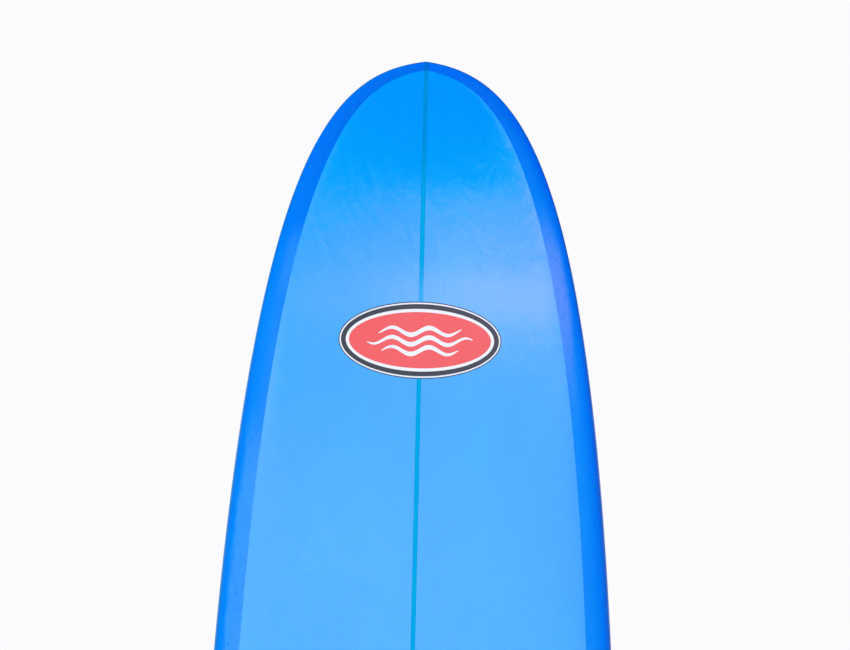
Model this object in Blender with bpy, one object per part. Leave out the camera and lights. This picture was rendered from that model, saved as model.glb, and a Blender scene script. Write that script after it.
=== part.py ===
"""Longboard surfboard, 9 ft 1 in, with a two-plus-one fin set.

The board stands on its tail: +Z runs from the tail block to the nose, the deck
faces -Y, the bottom faces +Y, and the stringer lies in the plane X = 0. The
origin is the centre of the flat end of the tail block. Units are metres.

Layers, from the outside in: the deck laminate (deck, rails and a lap onto the
bottom), the bottom laminate (bottom, rails and a lap onto the deck), and the
foam core in two halves glued to the stringer. Both laminates are sanded flush
where the laps end.
"""

import math

import bmesh
import bpy
import numpy as np
from mathutils import Matrix, Vector

# --------------------------------------------------------------------------
# Driving dimensions
# --------------------------------------------------------------------------
LENGTH = 2.769            # 9 ft 1 in
HALF_WIDTH = 0.292        # half of 23 in, at the wide point
WIDE_POINT = 1.200        # wide point, measured from the nose
THICKNESS = 0.073         # 2 7/8 in, at the flat spot
NOSE_TIP_THICKNESS = 0.020
TAIL_END_THICKNESS = 0.015
NOSE_ROCKER = 0.115
TAIL_ROCKER = 0.072
FLAT_SPOT = 1.300         # height above the tail where the rocker is level
NOSE_ROCKER_POWER = 4.0
TAIL_ROCKER_POWER = 2.2
NOSE_FOIL_POWER = 2.9
TAIL_FOIL_POWER = 3.45
TIP_ROUND = 0.016         # distance over which the nose tip rounds off

# Cross-section
DECK_CROWN = 0.28         # share of the deck height that is crown, not rail
BOTTOM_ROLL = 0.10        # the same share for the bottom
DECK_RAIL_POWER = 10.0
BOTTOM_RAIL_POWER = 14.0
APEX_SHARE = 0.42         # share of the thickness below the rail's apex
APEX_END_RISE = 0.08      # added to that share at the tail and at the nose
APEX_TAIL_FADE = 0.12     # distances over which the addition fades
APEX_NOSE_FADE = 0.2
RAIL_ANGLES = [math.radians(a) for a in (0, 7, 15, 25, 38, 55, 72, 90)]

# Plan outline as Bezier handles: (half width, distance from the nose)
NOSE_END = (0.2786, 0.8002)
WIDEST = (HALF_WIDTH, WIDE_POINT)
HIP_END = (0.0880, 2.7390)
NOSE_CURVE = ((0.0, 0.0), (0.1207, 0.0163), (0.2272, 0.1014), NOSE_END)
SHOULDER_CURVE = (NOSE_END, (0.2896, 0.9500), (HALF_WIDTH, 1.0500), WIDEST)
HIP_CURVE = (WIDEST, (HALF_WIDTH, 1.7200), (0.2430, 2.4890), HIP_END)
CORNER_CURVE = (HIP_END, (0.0760, 2.7583), (0.0660, LENGTH), (0.0500, LENGTH))

# Where each curve is sampled, from the nose to the tail
CURVE_SAMPLES = (
    (NOSE_CURVE, (0.0, 0.03, 0.07, 0.12, 0.18, 0.25, 0.33, 0.42, 0.52, 0.63, 0.75, 0.88, 1.0)),
    (SHOULDER_CURVE, (0.5, 1.0)),
    (HIP_CURVE, (0.15, 0.30, 0.45, 0.60, 0.72, 0.82, 0.91, 1.0)),
    (CORNER_CURVE, (0.35, 0.65, 0.85, 1.0)),
)
STATIONS = [(curve, t) for curve, samples in CURVE_SAMPLES for t in samples]

# Layers
GAP = 0.0003              # between neighbouring pieces
SKIN = 0.0012             # one laminate where the two overlap
DECK_SKIN = 0.0021        # deck laminate where it lies alone on the foam
BOTH_SKINS = 2 * SKIN + GAP
CORE_INSET = SKIN + GAP + SKIN + GAP
STRINGER = 0.00635        # 1/4 in basswood

# Places of the fittings
BOX_AT = 0.288            # centre of the long fin box, above the tail
BOX_SINK = 0.0005
FIN_SHIFT = -0.010        # the fin is set a little behind the middle of its box
SIDE_AT = (0.138, 0.372)  # side fin: distance off the stringer, height
SIDE_TOE = math.radians(2.5)
PLUG_SPACING = 0.056
LEASH_AT = 0.092          # height of the leash plug

# --------------------------------------------------------------------------
# Scene and materials
# --------------------------------------------------------------------------
for old in list(bpy.data.objects):
    bpy.data.objects.remove(old, do_unlink=True)

board = bpy.data.objects.new("surfboard", None)
bpy.context.scene.collection.objects.link(board)


def material(name, colour, roughness, metallic=0.0, coat=0.0):
    made = bpy.data.materials.new(name)
    made.use_nodes = True
    shader = made.node_tree.nodes["Principled BSDF"]
    shader.inputs["Base Color"].default_value = (*colour, 1.0)
    shader.inputs["Roughness"].default_value = roughness
    shader.inputs["Metallic"].default_value = metallic
    shader.inputs["Coat Weight"].default_value = coat
    made.diffuse_color = (*colour, 1.0)
    return made


DECK_BLUE = material("deck_tint_blue", colour=(0.03, 0.40, 0.98), roughness=0.22, coat=0.6)
RAIL_BLUE = material("bottom_tint_blue", colour=(0.0, 0.17, 0.85), roughness=0.20, coat=0.6)
FOAM = material("white_foam", colour=(0.86, 0.87, 0.84), roughness=0.9)
WOOD = material("basswood", colour=(0.02, 0.38, 0.78), roughness=0.6)
PRINT = material("badge_print", colour=(0.80, 0.12, 0.13), roughness=0.5)
BLACK_PLASTIC = material("black_plastic", colour=(0.015, 0.015, 0.017), roughness=0.45)
FIN_GLASS = material("fin_glass", colour=(0.012, 0.014, 0.018), roughness=0.25)
STEEL = material("stainless_steel", colour=(0.62, 0.62, 0.60), roughness=0.3, metallic=1.0)
BRASS = material("brass", colour=(0.70, 0.50, 0.20), roughness=0.35, metallic=1.0)


# --------------------------------------------------------------------------
# Objects and booleans; a shape is a pair (vertices, faces)
# --------------------------------------------------------------------------
def add_object(name, shape, place):
    verts, faces = shape
    mesh = bpy.data.meshes.new(name)
    mesh.from_pydata([tuple(map(float, v)) for v in verts], [], faces)
    work = bmesh.new()
    work.from_mesh(mesh)
    bmesh.ops.recalc_face_normals(work, faces=work.faces)
    work.to_mesh(mesh)
    work.free()
    mesh.validate()
    made = bpy.data.objects.new(name, mesh)
    bpy.context.scene.collection.objects.link(made)
    if place is not None:
        made.matrix_world = place
    return made


def solid(name, shape, mat, place=None, sharp_angle=35.0):
    """A visible piece of the board."""
    made = add_object(name, shape, place)
    made.data.materials.append(mat)
    made.parent = board
    made.data.shade_smooth()
    made.data.set_sharp_from_angle(angle=math.radians(sharp_angle))
    return made


def helper(name, shape, place=None):
    """A hidden body that only serves in booleans."""
    made = add_object(name, shape, place)
    made.hide_render = True
    made.display_type = "WIRE"
    return made


def boolean(target, operation, others):
    for other in others:
        added = target.modifiers.new(operation.lower() + "_" + other.name, "BOOLEAN")
        added.operation = operation
        added.solver = "EXACT"
        added.object = other


def cut(target, *others):
    boolean(target, "DIFFERENCE", others)


def join(target, *others):
    boolean(target, "UNION", others)


def trim_to(target, *others):
    boolean(target, "INTERSECT", others)


# --------------------------------------------------------------------------
# Basic shapes
# --------------------------------------------------------------------------
def loft(rings, cap_start=True):
    """Closed rings with the same number of points, joined in order and capped."""
    verts = [point for ring in rings for point in ring]
    count = len(rings[0])
    last = (len(rings) - 1) * count
    faces = []
    for start in range(0, last, count):
        for i in range(count):
            a, b = start + i, start + (i + 1) % count
            faces.append((a, b, b + count, a + count))
    if cap_start:
        faces.append(tuple(range(count))[::-1])
    faces.append(tuple(last + i for i in range(count)))
    return verts, faces


def block(half_x, y_span, z_span):
    low, high = y_span
    plan = ((-half_x, low), (half_x, low), (half_x, high), (-half_x, high))
    return loft([[(x, y, z) for x, y in plan] for z in z_span])


def slab(half_x, reach, z_span, corner, steps=4):
    """A block, centred in X and Y, with rounded corners in its X-Y plan."""
    right, front = half_x - corner, reach - corner
    plan = []
    for centre_x, centre_y, start in (
        (right, front, 0.0),
        (-right, front, 90.0),
        (-right, -front, 180.0),
        (right, -front, 270.0),
    ):
        for k in range(steps + 1):
            angle = math.radians(start + 90.0 * k / steps)
            plan.append(
                (centre_x + corner * math.cos(angle), centre_y + corner * math.sin(angle))
            )
    return loft([[(x, y, z) for x, y in plan] for z in z_span])


def turned(profile, steps):
    """A solid of revolution about Z from (radius, z) pairs, all off the axis."""
    angles = [2 * math.pi * i / steps for i in range(steps)]
    return loft([[(r * math.cos(a), r * math.sin(a), z) for a in angles] for r, z in profile])


def cylinder(radius, low, high, steps):
    return turned(((radius, low), (radius, high)), steps)


def rod(radius, end_radius, half_length, steps, bevel=0.0004):
    """A cylinder centred on the origin, its ends bevelled to end_radius."""
    shoulder = half_length - bevel
    profile = (
        (end_radius, -half_length),
        (radius, -shoulder),
        (radius, shoulder),
        (end_radius, half_length),
    )
    return turned(profile, steps)


# --------------------------------------------------------------------------
# The hull as functions of the height above the tail
# --------------------------------------------------------------------------
def bezier(handles, t):
    """Point and slope of a plane cubic Bezier curve."""
    (ax, ay), (bx, by), (cx, cy), (dx, dy) = handles
    u = 1.0 - t
    weight = (u**3, 3 * u * u * t, 3 * u * t * t, t**3)
    rate = (3 * u * u, 6 * u * t, 3 * t * t)
    point = (
        weight[0] * ax + weight[1] * bx + weight[2] * cx + weight[3] * dx,
        weight[0] * ay + weight[1] * by + weight[2] * cy + weight[3] * dy,
    )
    slope = (
        rate[0] * (bx - ax) + rate[1] * (cx - bx) + rate[2] * (dx - cx),
        rate[0] * (by - ay) + rate[1] * (cy - by) + rate[2] * (dy - cy),
    )
    return point, slope


def outline(inset):
    """(half width, height) of each station of the outline, moved in by inset.

    inset is a number or a function of the distance from the nose."""
    found = []
    for number, (handles, t) in enumerate(STATIONS):
        (half, from_nose), (slope_x, slope_s) = bezier(handles, t)
        size = math.hypot(slope_x, slope_s)
        normal_x, normal_s = slope_s / size, -slope_x / size
        shift = inset(from_nose) if callable(inset) else inset
        if number == 0:
            # The tip stays on the centre line.
            found.append((0.0, LENGTH - shift / abs(normal_s)))
        else:
            found.append((half - shift * normal_x, LENGTH - (from_nose - shift * normal_s)))
    return found


def half_width(z):
    widths, heights = zip(*outline(0.0)[::-1])
    return float(np.interp(z, heights, widths))


def rocker(z):
    """Y of the bottom's centre line."""
    level = TAIL_END_THICKNESS / 2 + TAIL_ROCKER
    if z < FLAT_SPOT:
        return level - TAIL_ROCKER * ((FLAT_SPOT - z) / FLAT_SPOT) ** TAIL_ROCKER_POWER
    return level - NOSE_ROCKER * ((z - FLAT_SPOT) / (LENGTH - FLAT_SPOT)) ** NOSE_ROCKER_POWER


def foil(z):
    """Thickness on the centre line, before the nose tip rounds off."""
    if z < FLAT_SPOT:
        left = max(0.0, 1.0 - z / FLAT_SPOT) ** TAIL_FOIL_POWER
        return TAIL_END_THICKNESS + (THICKNESS - TAIL_END_THICKNESS) * (1.0 - left)
    left = max(0.0, 1.0 - (LENGTH - z) / (LENGTH - FLAT_SPOT)) ** NOSE_FOIL_POWER
    return NOSE_TIP_THICKNESS + (THICKNESS - NOSE_TIP_THICKNESS) * (1.0 - left)


def share_below(z):
    """Share of the thickness below the rail's apex."""
    tail_rise = APEX_END_RISE * math.exp(-z / APEX_TAIL_FADE)
    nose_rise = APEX_END_RISE * math.exp(-(LENGTH - z) / APEX_NOSE_FADE)
    return APEX_SHARE + tail_rise + nose_rise


def apex(z):
    return rocker(z) - share_below(z) * foil(z)


def tip_factor(z, inset):
    from_tip = (LENGTH - z) - inset
    if from_tip >= TIP_ROUND:
        return 1.0
    return math.sqrt(max(0.0, 1.0 - (1.0 - max(0.0, from_tip) / TIP_ROUND) ** 2))


def section_share(x, half, crown, power):
    """Height at x as a share of the height on the centre line."""
    across = min(1.0, abs(x) / half)
    rail = math.sqrt(max(0.0, 1.0 - across**power))
    return (1 - crown) * rail + crown * (1.0 - across * across)


def deck_y(x, z, half, inset=0.0):
    height = ((1.0 - share_below(z)) * foil(z) - inset) * tip_factor(z, inset)
    return apex(z) - height * section_share(x, half, DECK_CROWN, DECK_RAIL_POWER)


def bottom_y(x, z, half, inset=0.0):
    depth = (share_below(z) * foil(z) - inset) * tip_factor(z, inset)
    return apex(z) + depth * section_share(x, half, BOTTOM_ROLL, BOTTOM_RAIL_POWER)


def hull(inset):
    """A closed body whose skin lies inset inside the board's surface."""
    (_, tip_z), *stations = outline(inset)
    quarters = (
        (1.0, deck_y, RAIL_ANGLES),
        (-1.0, deck_y, RAIL_ANGLES[-2::-1]),
        (-1.0, bottom_y, RAIL_ANGLES[1:]),
        (1.0, bottom_y, RAIL_ANGLES[-2:0:-1]),
    )
    rings = []
    for half, z in stations:
        ring = []
        for side, surface_y, angles in quarters:
            for angle in angles:
                x = side * half * math.cos(angle)
                ring.append((x, surface_y(x, z, half, inset), z))
        rings.append(ring)
    verts, faces = loft(rings, cap_start=False)
    tip, count = len(verts), len(rings[0])
    verts.append((0.0, apex(tip_z), tip_z))
    faces += [(tip, (i + 1) % count, i) for i in range(count)]
    return verts, faces


# --------------------------------------------------------------------------
# Frames of the fittings: X across, Y along the board to the nose, Z out of the board
# --------------------------------------------------------------------------
def frame_at(origin, along, out):
    out = out.normalized()
    along = (along - out * along.dot(out)).normalized()
    across = along.cross(out)
    return Matrix(
        (
            (across.x, along.x, out.x, origin.x),
            (across.y, along.y, out.y, origin.y),
            (across.z, along.z, out.z, origin.z),
            (0.0, 0.0, 0.0, 1.0),
        )
    )


def surface_frame(x, z, above, toe=0.0):
    """Frame on the deck (above) or the bottom, its Z axis the outward normal."""
    surface_y = deck_y if above else bottom_y
    step = 0.004    # to each side, for the surface's slopes

    def at(px, pz):
        return Vector((px, surface_y(px, pz, half_width(pz)), pz))

    across = at(x + step, z) - at(x - step, z)
    up = at(x, z + step) - at(x, z - step)
    out = across.cross(up).normalized()
    if (out.y > 0) == above:
        out = -out
    along = Matrix.Rotation(toe, 3, out) @ up.normalized()
    return frame_at(at(x, z), along, out)


def box_frame(reach):
    """The long box is straight, so its frame takes the slope between its two ends."""
    low, high = BOX_AT - reach, BOX_AT + reach
    along = Vector((0.0, rocker(high) - rocker(low), high - low)).normalized()
    out = Vector((0.0, along.z, -along.y))
    return frame_at(Vector((0.0, rocker(BOX_AT), BOX_AT)) - out * BOX_SINK, along, out)


def moved(frame, x=0.0, y=0.0, z=0.0):
    return frame @ Matrix.Translation((x, y, z))


def crosswise(frame, y, z):
    """A frame moved within the board's length and depth, its Z axis turned across."""
    return moved(frame, y=y, z=z) @ Matrix.Rotation(math.pi / 2, 4, "Y")


# --------------------------------------------------------------------------
# Long fin box (a 10 3/4 in box with a 10 in slot)
# --------------------------------------------------------------------------
BOX_HALF, BOX_FLANGE_HALF = 0.0128, 0.0160
BOX_REACH, BOX_FLANGE_REACH = 0.1350, 0.1380
BOX_DEPTH, BOX_FLANGE = 0.0270, 0.0030
BOX_CORNER, BOX_FLANGE_CORNER = 0.006, 0.010
SLOT_HALF, SLOT_REACH, SLOT_DEPTH = 0.0053, 0.1270, 0.0245
SLOT_CORNER = 0.004
TRACK_HALF, TRACK_TOP, TRACK_LOW = 0.0086, -0.0082, -0.0129
TRACK_REACH = SLOT_REACH - 0.0004
NOTCH_HALF = TRACK_HALF - 0.0002
NOTCH_REACH, NOTCH_LOW = 0.0100, -0.0105
BOX_CUT_TOP = 0.004       # the slot and notch cutters end this far above the box

BOX_FRAME = box_frame(BOX_REACH)


def build_fin_box():
    """A flanged tub with a long slot, a wider track inside and a notch down to the track."""
    flange = slab(BOX_FLANGE_HALF, BOX_FLANGE_REACH, (-BOX_FLANGE, 0.0), BOX_FLANGE_CORNER)
    tub = slab(BOX_HALF, BOX_REACH, (-BOX_DEPTH, -BOX_FLANGE / 2), BOX_CORNER)
    slot = slab(SLOT_HALF, SLOT_REACH, (-SLOT_DEPTH, BOX_CUT_TOP), SLOT_CORNER)
    track = block(TRACK_HALF, (-TRACK_REACH, TRACK_REACH), (TRACK_LOW, TRACK_TOP))
    notch = block(NOTCH_HALF, (-NOTCH_REACH, NOTCH_REACH), (NOTCH_LOW, BOX_CUT_TOP))

    fin_box = solid("centre_fin_box", flange, BLACK_PLASTIC, BOX_FRAME)
    join(fin_box, helper("cut_box_tub", tub, BOX_FRAME))
    cut(
        fin_box,
        helper("cut_box_slot", slot, BOX_FRAME),
        helper("cut_box_track", track, BOX_FRAME),
        helper("cut_box_notch", notch, BOX_FRAME),
    )


def build_box_pockets():
    flange = slab(
        BOX_FLANGE_HALF + GAP,
        BOX_FLANGE_REACH + GAP,
        (-BOX_FLANGE - GAP, 0.006),
        BOX_FLANGE_CORNER + GAP,
    )
    body = slab(BOX_HALF + GAP, BOX_REACH + GAP, (-BOX_DEPTH - GAP, -0.001), BOX_CORNER + GAP)
    return [
        helper("pocket_box_flange", flange, BOX_FRAME),
        helper("pocket_box_body", body, BOX_FRAME),
    ]


# --------------------------------------------------------------------------
# Fin blade
# --------------------------------------------------------------------------
BLADE_END = 0.985         # the edges are followed to this share of their curves
THINNING_POWER = 0.9


def foil_half(chord, thickness):
    """Half thickness at a share of the chord, by the four-digit symmetric foil formula."""
    return 5 * thickness * (
        0.2969 * math.sqrt(chord)
        - 0.1260 * chord
        - 0.3516 * chord**2
        + 0.2843 * chord**3
        - 0.1036 * chord**4
    )


def fin_blade(lead, trail, root_thick, tip_thick, root_drop, sections, chord_steps):
    """A foiled blade between two Bezier edges, given as (along, out) handles.

    An extra first section lies root_drop below the edges' start."""
    chords = [0.5 - 0.5 * math.cos(math.pi * k / chord_steps) for k in range(chord_steps + 1)]
    levels = [(0.0, root_drop)] + [(k / sections, 0.0) for k in range(sections + 1)]
    rings = []
    for t, drop in levels:
        (lead_along, lead_out), _ = bezier(lead, min(BLADE_END, t))
        (trail_along, trail_out), _ = bezier(trail, min(BLADE_END, t))
        lead_out -= drop
        trail_out -= drop
        thickness = tip_thick + (root_thick - tip_thick) * (1.0 - t) ** THINNING_POWER
        side = [
            (
                foil_half(chord, thickness),
                lead_along + (trail_along - lead_along) * chord,
                lead_out + (trail_out - lead_out) * chord,
            )
            for chord in chords
        ]
        other_side = [(-half, along, out) for half, along, out in side]
        rings.append(side + other_side[-2:0:-1])
    return loft(rings)


# --------------------------------------------------------------------------
# Centre fin, with its pin, screw and plate
# --------------------------------------------------------------------------
TAB_HALF, TAB_REACH, TAB_CORNER = 0.0049, 0.0760, 0.003
TAB_TOP, TAB_LOW = -0.0003, -0.0220
FOOT_HALF = TAB_HALF - 0.0002
FOOT_START, FOOT_REACH = TAB_REACH - 0.004, 0.0980
FOOT_LOW, FOOT_TOP = -0.0080, -0.0050
SCREW_AT = 0.0880
SCREW_HOLE = 0.0024       # radius in the foot and in the plate
PIN_AT = (-0.0680, -0.0105)    # (along, out)
PIN_RADIUS, PIN_END_RADIUS, PIN_HALF = 0.00198, 0.0016, 0.0080
PIN_HOLE, PIN_HOLE_HALF = 0.0023, 0.010
PLATE_HALF, PLATE_REACH = 0.0080, 0.0060
PLATE_LOW, PLATE_TOP = -0.0109, -0.0085

# Blade edges as Bezier handles: (along, out)
FIN_LEAD = ((0.0745, 0.0), (0.0600, 0.0950), (0.0050, 0.1950), (-0.1050, 0.2240))
FIN_TRAIL = ((-0.0745, 0.0), (-0.0560, 0.0600), (-0.0600, 0.1450), (-0.1180, 0.2190))

# Screw: (radius, z), from the point to the top of the head
SCREW_PROFILE = (
    (0.0014, -0.0140), (0.0020, -0.0134), (0.0020, -0.0047),
    (0.0041, -0.0047), (0.0041, -0.0032), (0.0030, -0.0022),
)
DRIVE_HALF_LENGTH, DRIVE_HALF_WIDTH = 0.0055, 0.00055
DRIVE_LOW, DRIVE_TOP = -0.0034, 0.0010

FIN_FRAME = moved(BOX_FRAME, y=FIN_SHIFT)
SCREW_FRAME = moved(FIN_FRAME, y=SCREW_AT)
PIN_FRAME = crosswise(FIN_FRAME, *PIN_AT)


def build_centre_fin():
    """A tab in the box's slot, the blade on it, and a flat foot in front for the screw."""
    tab = slab(TAB_HALF, TAB_REACH, (TAB_LOW, TAB_TOP), TAB_CORNER, steps=2)
    blade = fin_blade(
        FIN_LEAD,
        FIN_TRAIL,
        root_thick=0.0092,
        tip_thick=0.0034,
        root_drop=0.006,
        sections=14,
        chord_steps=10,
    )
    foot = block(FOOT_HALF, (FOOT_START, FOOT_REACH), (FOOT_LOW, FOOT_TOP))
    foot_hole = cylinder(SCREW_HOLE, -0.012, 0.0, steps=16)
    pin_hole = cylinder(PIN_HOLE, -PIN_HOLE_HALF, PIN_HOLE_HALF, steps=16)

    fin = solid("centre_fin", tab, FIN_GLASS, FIN_FRAME)
    join(
        fin,
        helper("join_fin_blade", blade, FIN_FRAME),
        helper("join_fin_foot", foot, FIN_FRAME),
    )
    cut(
        fin,
        helper("cut_foot_hole", foot_hole, SCREW_FRAME),
        helper("cut_pin_hole", pin_hole, PIN_FRAME),
    )


def build_fin_pin():
    shape = rod(PIN_RADIUS, PIN_END_RADIUS, PIN_HALF, steps=14)
    solid("centre_fin_pin", shape, STEEL, PIN_FRAME)


def build_fin_screw():
    drive = block(
        DRIVE_HALF_LENGTH,
        (-DRIVE_HALF_WIDTH, DRIVE_HALF_WIDTH),
        (DRIVE_LOW, DRIVE_TOP),
    )
    screw = solid("fin_screw", turned(SCREW_PROFILE, steps=18), STEEL, SCREW_FRAME)
    cut(screw, helper("cut_screw_slot", drive, SCREW_FRAME))


def build_fin_plate():
    """The plate in the box's track, with a hole for the screw."""
    shape = block(PLATE_HALF, (-PLATE_REACH, PLATE_REACH), (PLATE_LOW, PLATE_TOP))
    plate = solid("fin_plate", shape, STEEL, SCREW_FRAME)
    hole = cylinder(SCREW_HOLE, -0.015, -0.005, steps=16)
    cut(plate, helper("cut_plate_hole", hole, SCREW_FRAME))


# --------------------------------------------------------------------------
# Side fins: each has two tabs in two round plugs, each plug with a grub screw
# --------------------------------------------------------------------------
PLUG_RADIUS, PLUG_BODY, PLUG_END = 0.0140, 0.0128, 0.0120
PLUG_DEPTH, PLUG_FLANGE, PLUG_BEVEL = 0.0155, 0.0022, 0.0010
PLUG_STEPS = 26
# Slot and tab: half thickness, reach along the fin, depth
PLUG_SLOT = (0.0036, 0.0092, 0.0132)
SIDE_TAB = (0.0032, 0.0088, 0.0128)
PLUG_SLOT_CORNER, SIDE_TAB_CORNER = 0.0012, 0.0015
SIDE_TAB_TOP = 0.0006     # the tab runs this far up into the blade
GRUB_OFFSET, GRUB_TILT = 0.0084, math.radians(20.0)
GRUB_STEPS = 16

# Blade edges as Bezier handles: (along, out)
SIDE_LEAD = ((0.0480, 0.0004), (0.0360, 0.0340), (0.0080, 0.0760), (-0.0420, 0.0880))
SIDE_TRAIL = ((-0.0480, 0.0004), (-0.0390, 0.0260), (-0.0380, 0.0560), (-0.0520, 0.0850))

# (radius, z), from the inner end outward
PLUG_PROFILE = (
    (PLUG_END, -PLUG_DEPTH),
    (PLUG_BODY, -PLUG_DEPTH + PLUG_BEVEL),
    (PLUG_BODY, -PLUG_FLANGE),
    (PLUG_RADIUS, -PLUG_FLANGE),
    (PLUG_RADIUS, 0.0),
)
GRUB_PROFILE = ((0.0014, -0.0073), (0.0020, -0.0068), (0.0020, -0.0011), (0.0017, -0.0008))

SIDES = {"right": 1.0, "left": -1.0}    # sign of X


def round_pocket(name, radius, depth, top, steps, place):
    """A cutter that clears a round fitting by the gap."""
    return helper(name, cylinder(radius + GAP, -depth - GAP, top, steps), place)


def build_side_blade(side, frame):
    blade = fin_blade(
        SIDE_LEAD,
        SIDE_TRAIL,
        root_thick=0.0066,
        tip_thick=0.0026,
        root_drop=0.0,
        sections=9,
        chord_steps=8,
    )
    return solid("side_fin_" + side, blade, FIN_GLASS, frame)


def add_side_tab(fin, label, spot):
    half, reach, depth = SIDE_TAB
    tab = slab(half, reach, (-depth, SIDE_TAB_TOP), SIDE_TAB_CORNER, steps=2)
    join(fin, helper("join_tab_" + label, tab, spot))


def build_plug(label, spot, grub_frame):
    half, reach, depth = PLUG_SLOT
    slot = slab(half, reach, (-depth, 0.003), PLUG_SLOT_CORNER, steps=2)
    bore = cylinder(0.0023, -0.0078, 0.003, GRUB_STEPS)
    plug = solid("fin_plug_" + label, turned(PLUG_PROFILE, PLUG_STEPS), BLACK_PLASTIC, spot)
    cut(
        plug,
        helper("cut_tab_slot_" + label, slot, spot),
        helper("cut_grub_bore_" + label, bore, grub_frame),
    )


def build_grub_screw(label, grub_frame):
    """A headless screw with a hexagonal socket."""
    grub = solid("grub_screw_" + label, turned(GRUB_PROFILE, GRUB_STEPS), STEEL, grub_frame)
    socket = cylinder(0.0010, -0.0034, 0.001, steps=6)
    cut(grub, helper("cut_grub_socket_" + label, socket, grub_frame))


def build_plug_pockets(label, spot):
    flange, body = "pocket_flange_" + label, "pocket_body_" + label
    return [
        round_pocket(flange, PLUG_RADIUS, PLUG_FLANGE, 0.004, PLUG_STEPS, spot),
        round_pocket(body, PLUG_BODY, PLUG_DEPTH, -0.001, PLUG_STEPS, spot),
    ]


def build_side_fin(side, sign):
    """One side fin, toed in, with its plugs and screws; returns the plugs' pockets."""
    frame = surface_frame(sign * SIDE_AT[0], SIDE_AT[1], above=False, toe=-sign * SIDE_TOE)
    fin = build_side_blade(side, frame)
    pockets = []
    for end, along in (("front", PLUG_SPACING / 2), ("rear", -PLUG_SPACING / 2)):
        label = end + "_" + side
        spot = moved(frame, y=along)
        # The screw sits on the stringer's side of the tab, its outer end leaning away.
        tilt = Matrix.Rotation(sign * GRUB_TILT, 4, "Y")
        grub_frame = moved(spot, x=sign * GRUB_OFFSET) @ tilt
        add_side_tab(fin, label, spot)
        build_plug(label, spot, grub_frame)
        build_grub_screw(label, grub_frame)
        pockets += build_plug_pockets(label, spot)
    return pockets


# --------------------------------------------------------------------------
# Leash plug
# --------------------------------------------------------------------------
CUP_FLANGE, CUP_BODY, CUP_END, CUP_BORE = 0.0140, 0.0120, 0.0105, 0.0093    # radii
CUP_DEPTH, CUP_FLANGE_DEPTH, CUP_BEVEL = 0.0190, 0.0018, 0.0015
CUP_STEPS = 28
BAR_DEPTH = 0.0048
BAR_RADIUS, BAR_END_RADIUS, BAR_HALF = 0.0022, 0.0018, 0.0112
BAR_HOLE, BAR_HOLE_HALF = 0.0025, 0.0115
BAR_STEPS = 18

# (radius, z), from the inner end outward
CUP_PROFILE = (
    (CUP_END, -CUP_DEPTH),
    (CUP_BODY, -CUP_DEPTH + CUP_BEVEL),
    (CUP_BODY, -CUP_FLANGE_DEPTH),
    (CUP_FLANGE, -CUP_FLANGE_DEPTH),
    (CUP_FLANGE, 0.0),
)
CUP_BORE_PROFILE = ((0.0050, -0.0150), (0.0078, -0.0140), (CUP_BORE, -0.0115), (CUP_BORE, 0.003))

LEASH_FRAME = surface_frame(0.0, LEASH_AT, above=True)
BAR_FRAME = crosswise(LEASH_FRAME, 0.0, -BAR_DEPTH)


def build_leash_cup():
    cup = solid("leash_plug_cup", turned(CUP_PROFILE, CUP_STEPS), BLACK_PLASTIC, LEASH_FRAME)
    bar_hole = cylinder(BAR_HOLE, -BAR_HOLE_HALF, BAR_HOLE_HALF, BAR_STEPS)
    cut(
        cup,
        helper("cut_cup_bore", turned(CUP_BORE_PROFILE, CUP_STEPS), LEASH_FRAME),
        helper("cut_bar_hole", bar_hole, BAR_FRAME),
    )


def build_leash_bar():
    shape = rod(BAR_RADIUS, BAR_END_RADIUS, BAR_HALF, BAR_STEPS)
    solid("leash_plug_bar", shape, STEEL, BAR_FRAME)


def build_leash_pockets():
    flange, body = "pocket_leash_flange", "pocket_leash_body"
    return [
        round_pocket(flange, CUP_FLANGE, CUP_FLANGE_DEPTH, 0.004, CUP_STEPS, LEASH_FRAME),
        round_pocket(body, CUP_BODY, CUP_DEPTH, -0.001, CUP_STEPS, LEASH_FRAME),
    ]


# --------------------------------------------------------------------------
# Core and stringer
# --------------------------------------------------------------------------
def core_half(inset, sign):
    """The foam on one side of the stringer."""
    flat = STRINGER / 2 + GAP
    rings = []
    for half, z in outline(inset)[1:]:
        ring = []
        for surface_y, angles in ((deck_y, RAIL_ANGLES[::-1]), (bottom_y, RAIL_ANGLES[1:])):
            for angle in angles:
                x = flat + (half - flat) * math.cos(angle)
                ring.append((sign * x, surface_y(x, z, half, inset), z))
        rings.append(ring)
    return loft(rings)


def stringer_body(inset):
    side = STRINGER / 2
    rings = []
    for half, z in outline(inset)[1:]:
        deck = deck_y(0.0, z, half, inset)
        bottom = bottom_y(0.0, z, half, inset)
        rings.append([(-side, deck, z), (side, deck, z), (side, bottom, z), (-side, bottom, z)])
    return loft(rings)


def build_core(side, sign, pockets):
    core = solid("foam_core_" + side, core_half(CORE_INSET, sign), FOAM)
    cut(core, *pockets)


def build_stringer(pockets):
    stringer = solid("stringer", stringer_body(CORE_INSET), WOOD)
    cut(stringer, *pockets)


# --------------------------------------------------------------------------
# Laminates
# --------------------------------------------------------------------------
LAP_AT_TIP = 0.0126       # bottom laminate's lap on the deck, at the nose
LAP_NOSE_GROWTH = 0.014   # gained behind the nose, over a fading distance
LAP_NOSE_FADE = 0.070
LAP_SLOPE = 0.012         # steady growth, up to a distance from the nose
LAP_SLOPE_END = 0.95
LAP_AT_TAIL = 0.020       # reached over the last stretch of the board
LAP_TAIL_STRETCH = 0.30
LAP_TAIL_LINE = 0.016     # height of the lap's straight edge at the tail
DECK_LAP_SHARE = 0.80     # deck laminate's lap on the bottom, as a share

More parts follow.
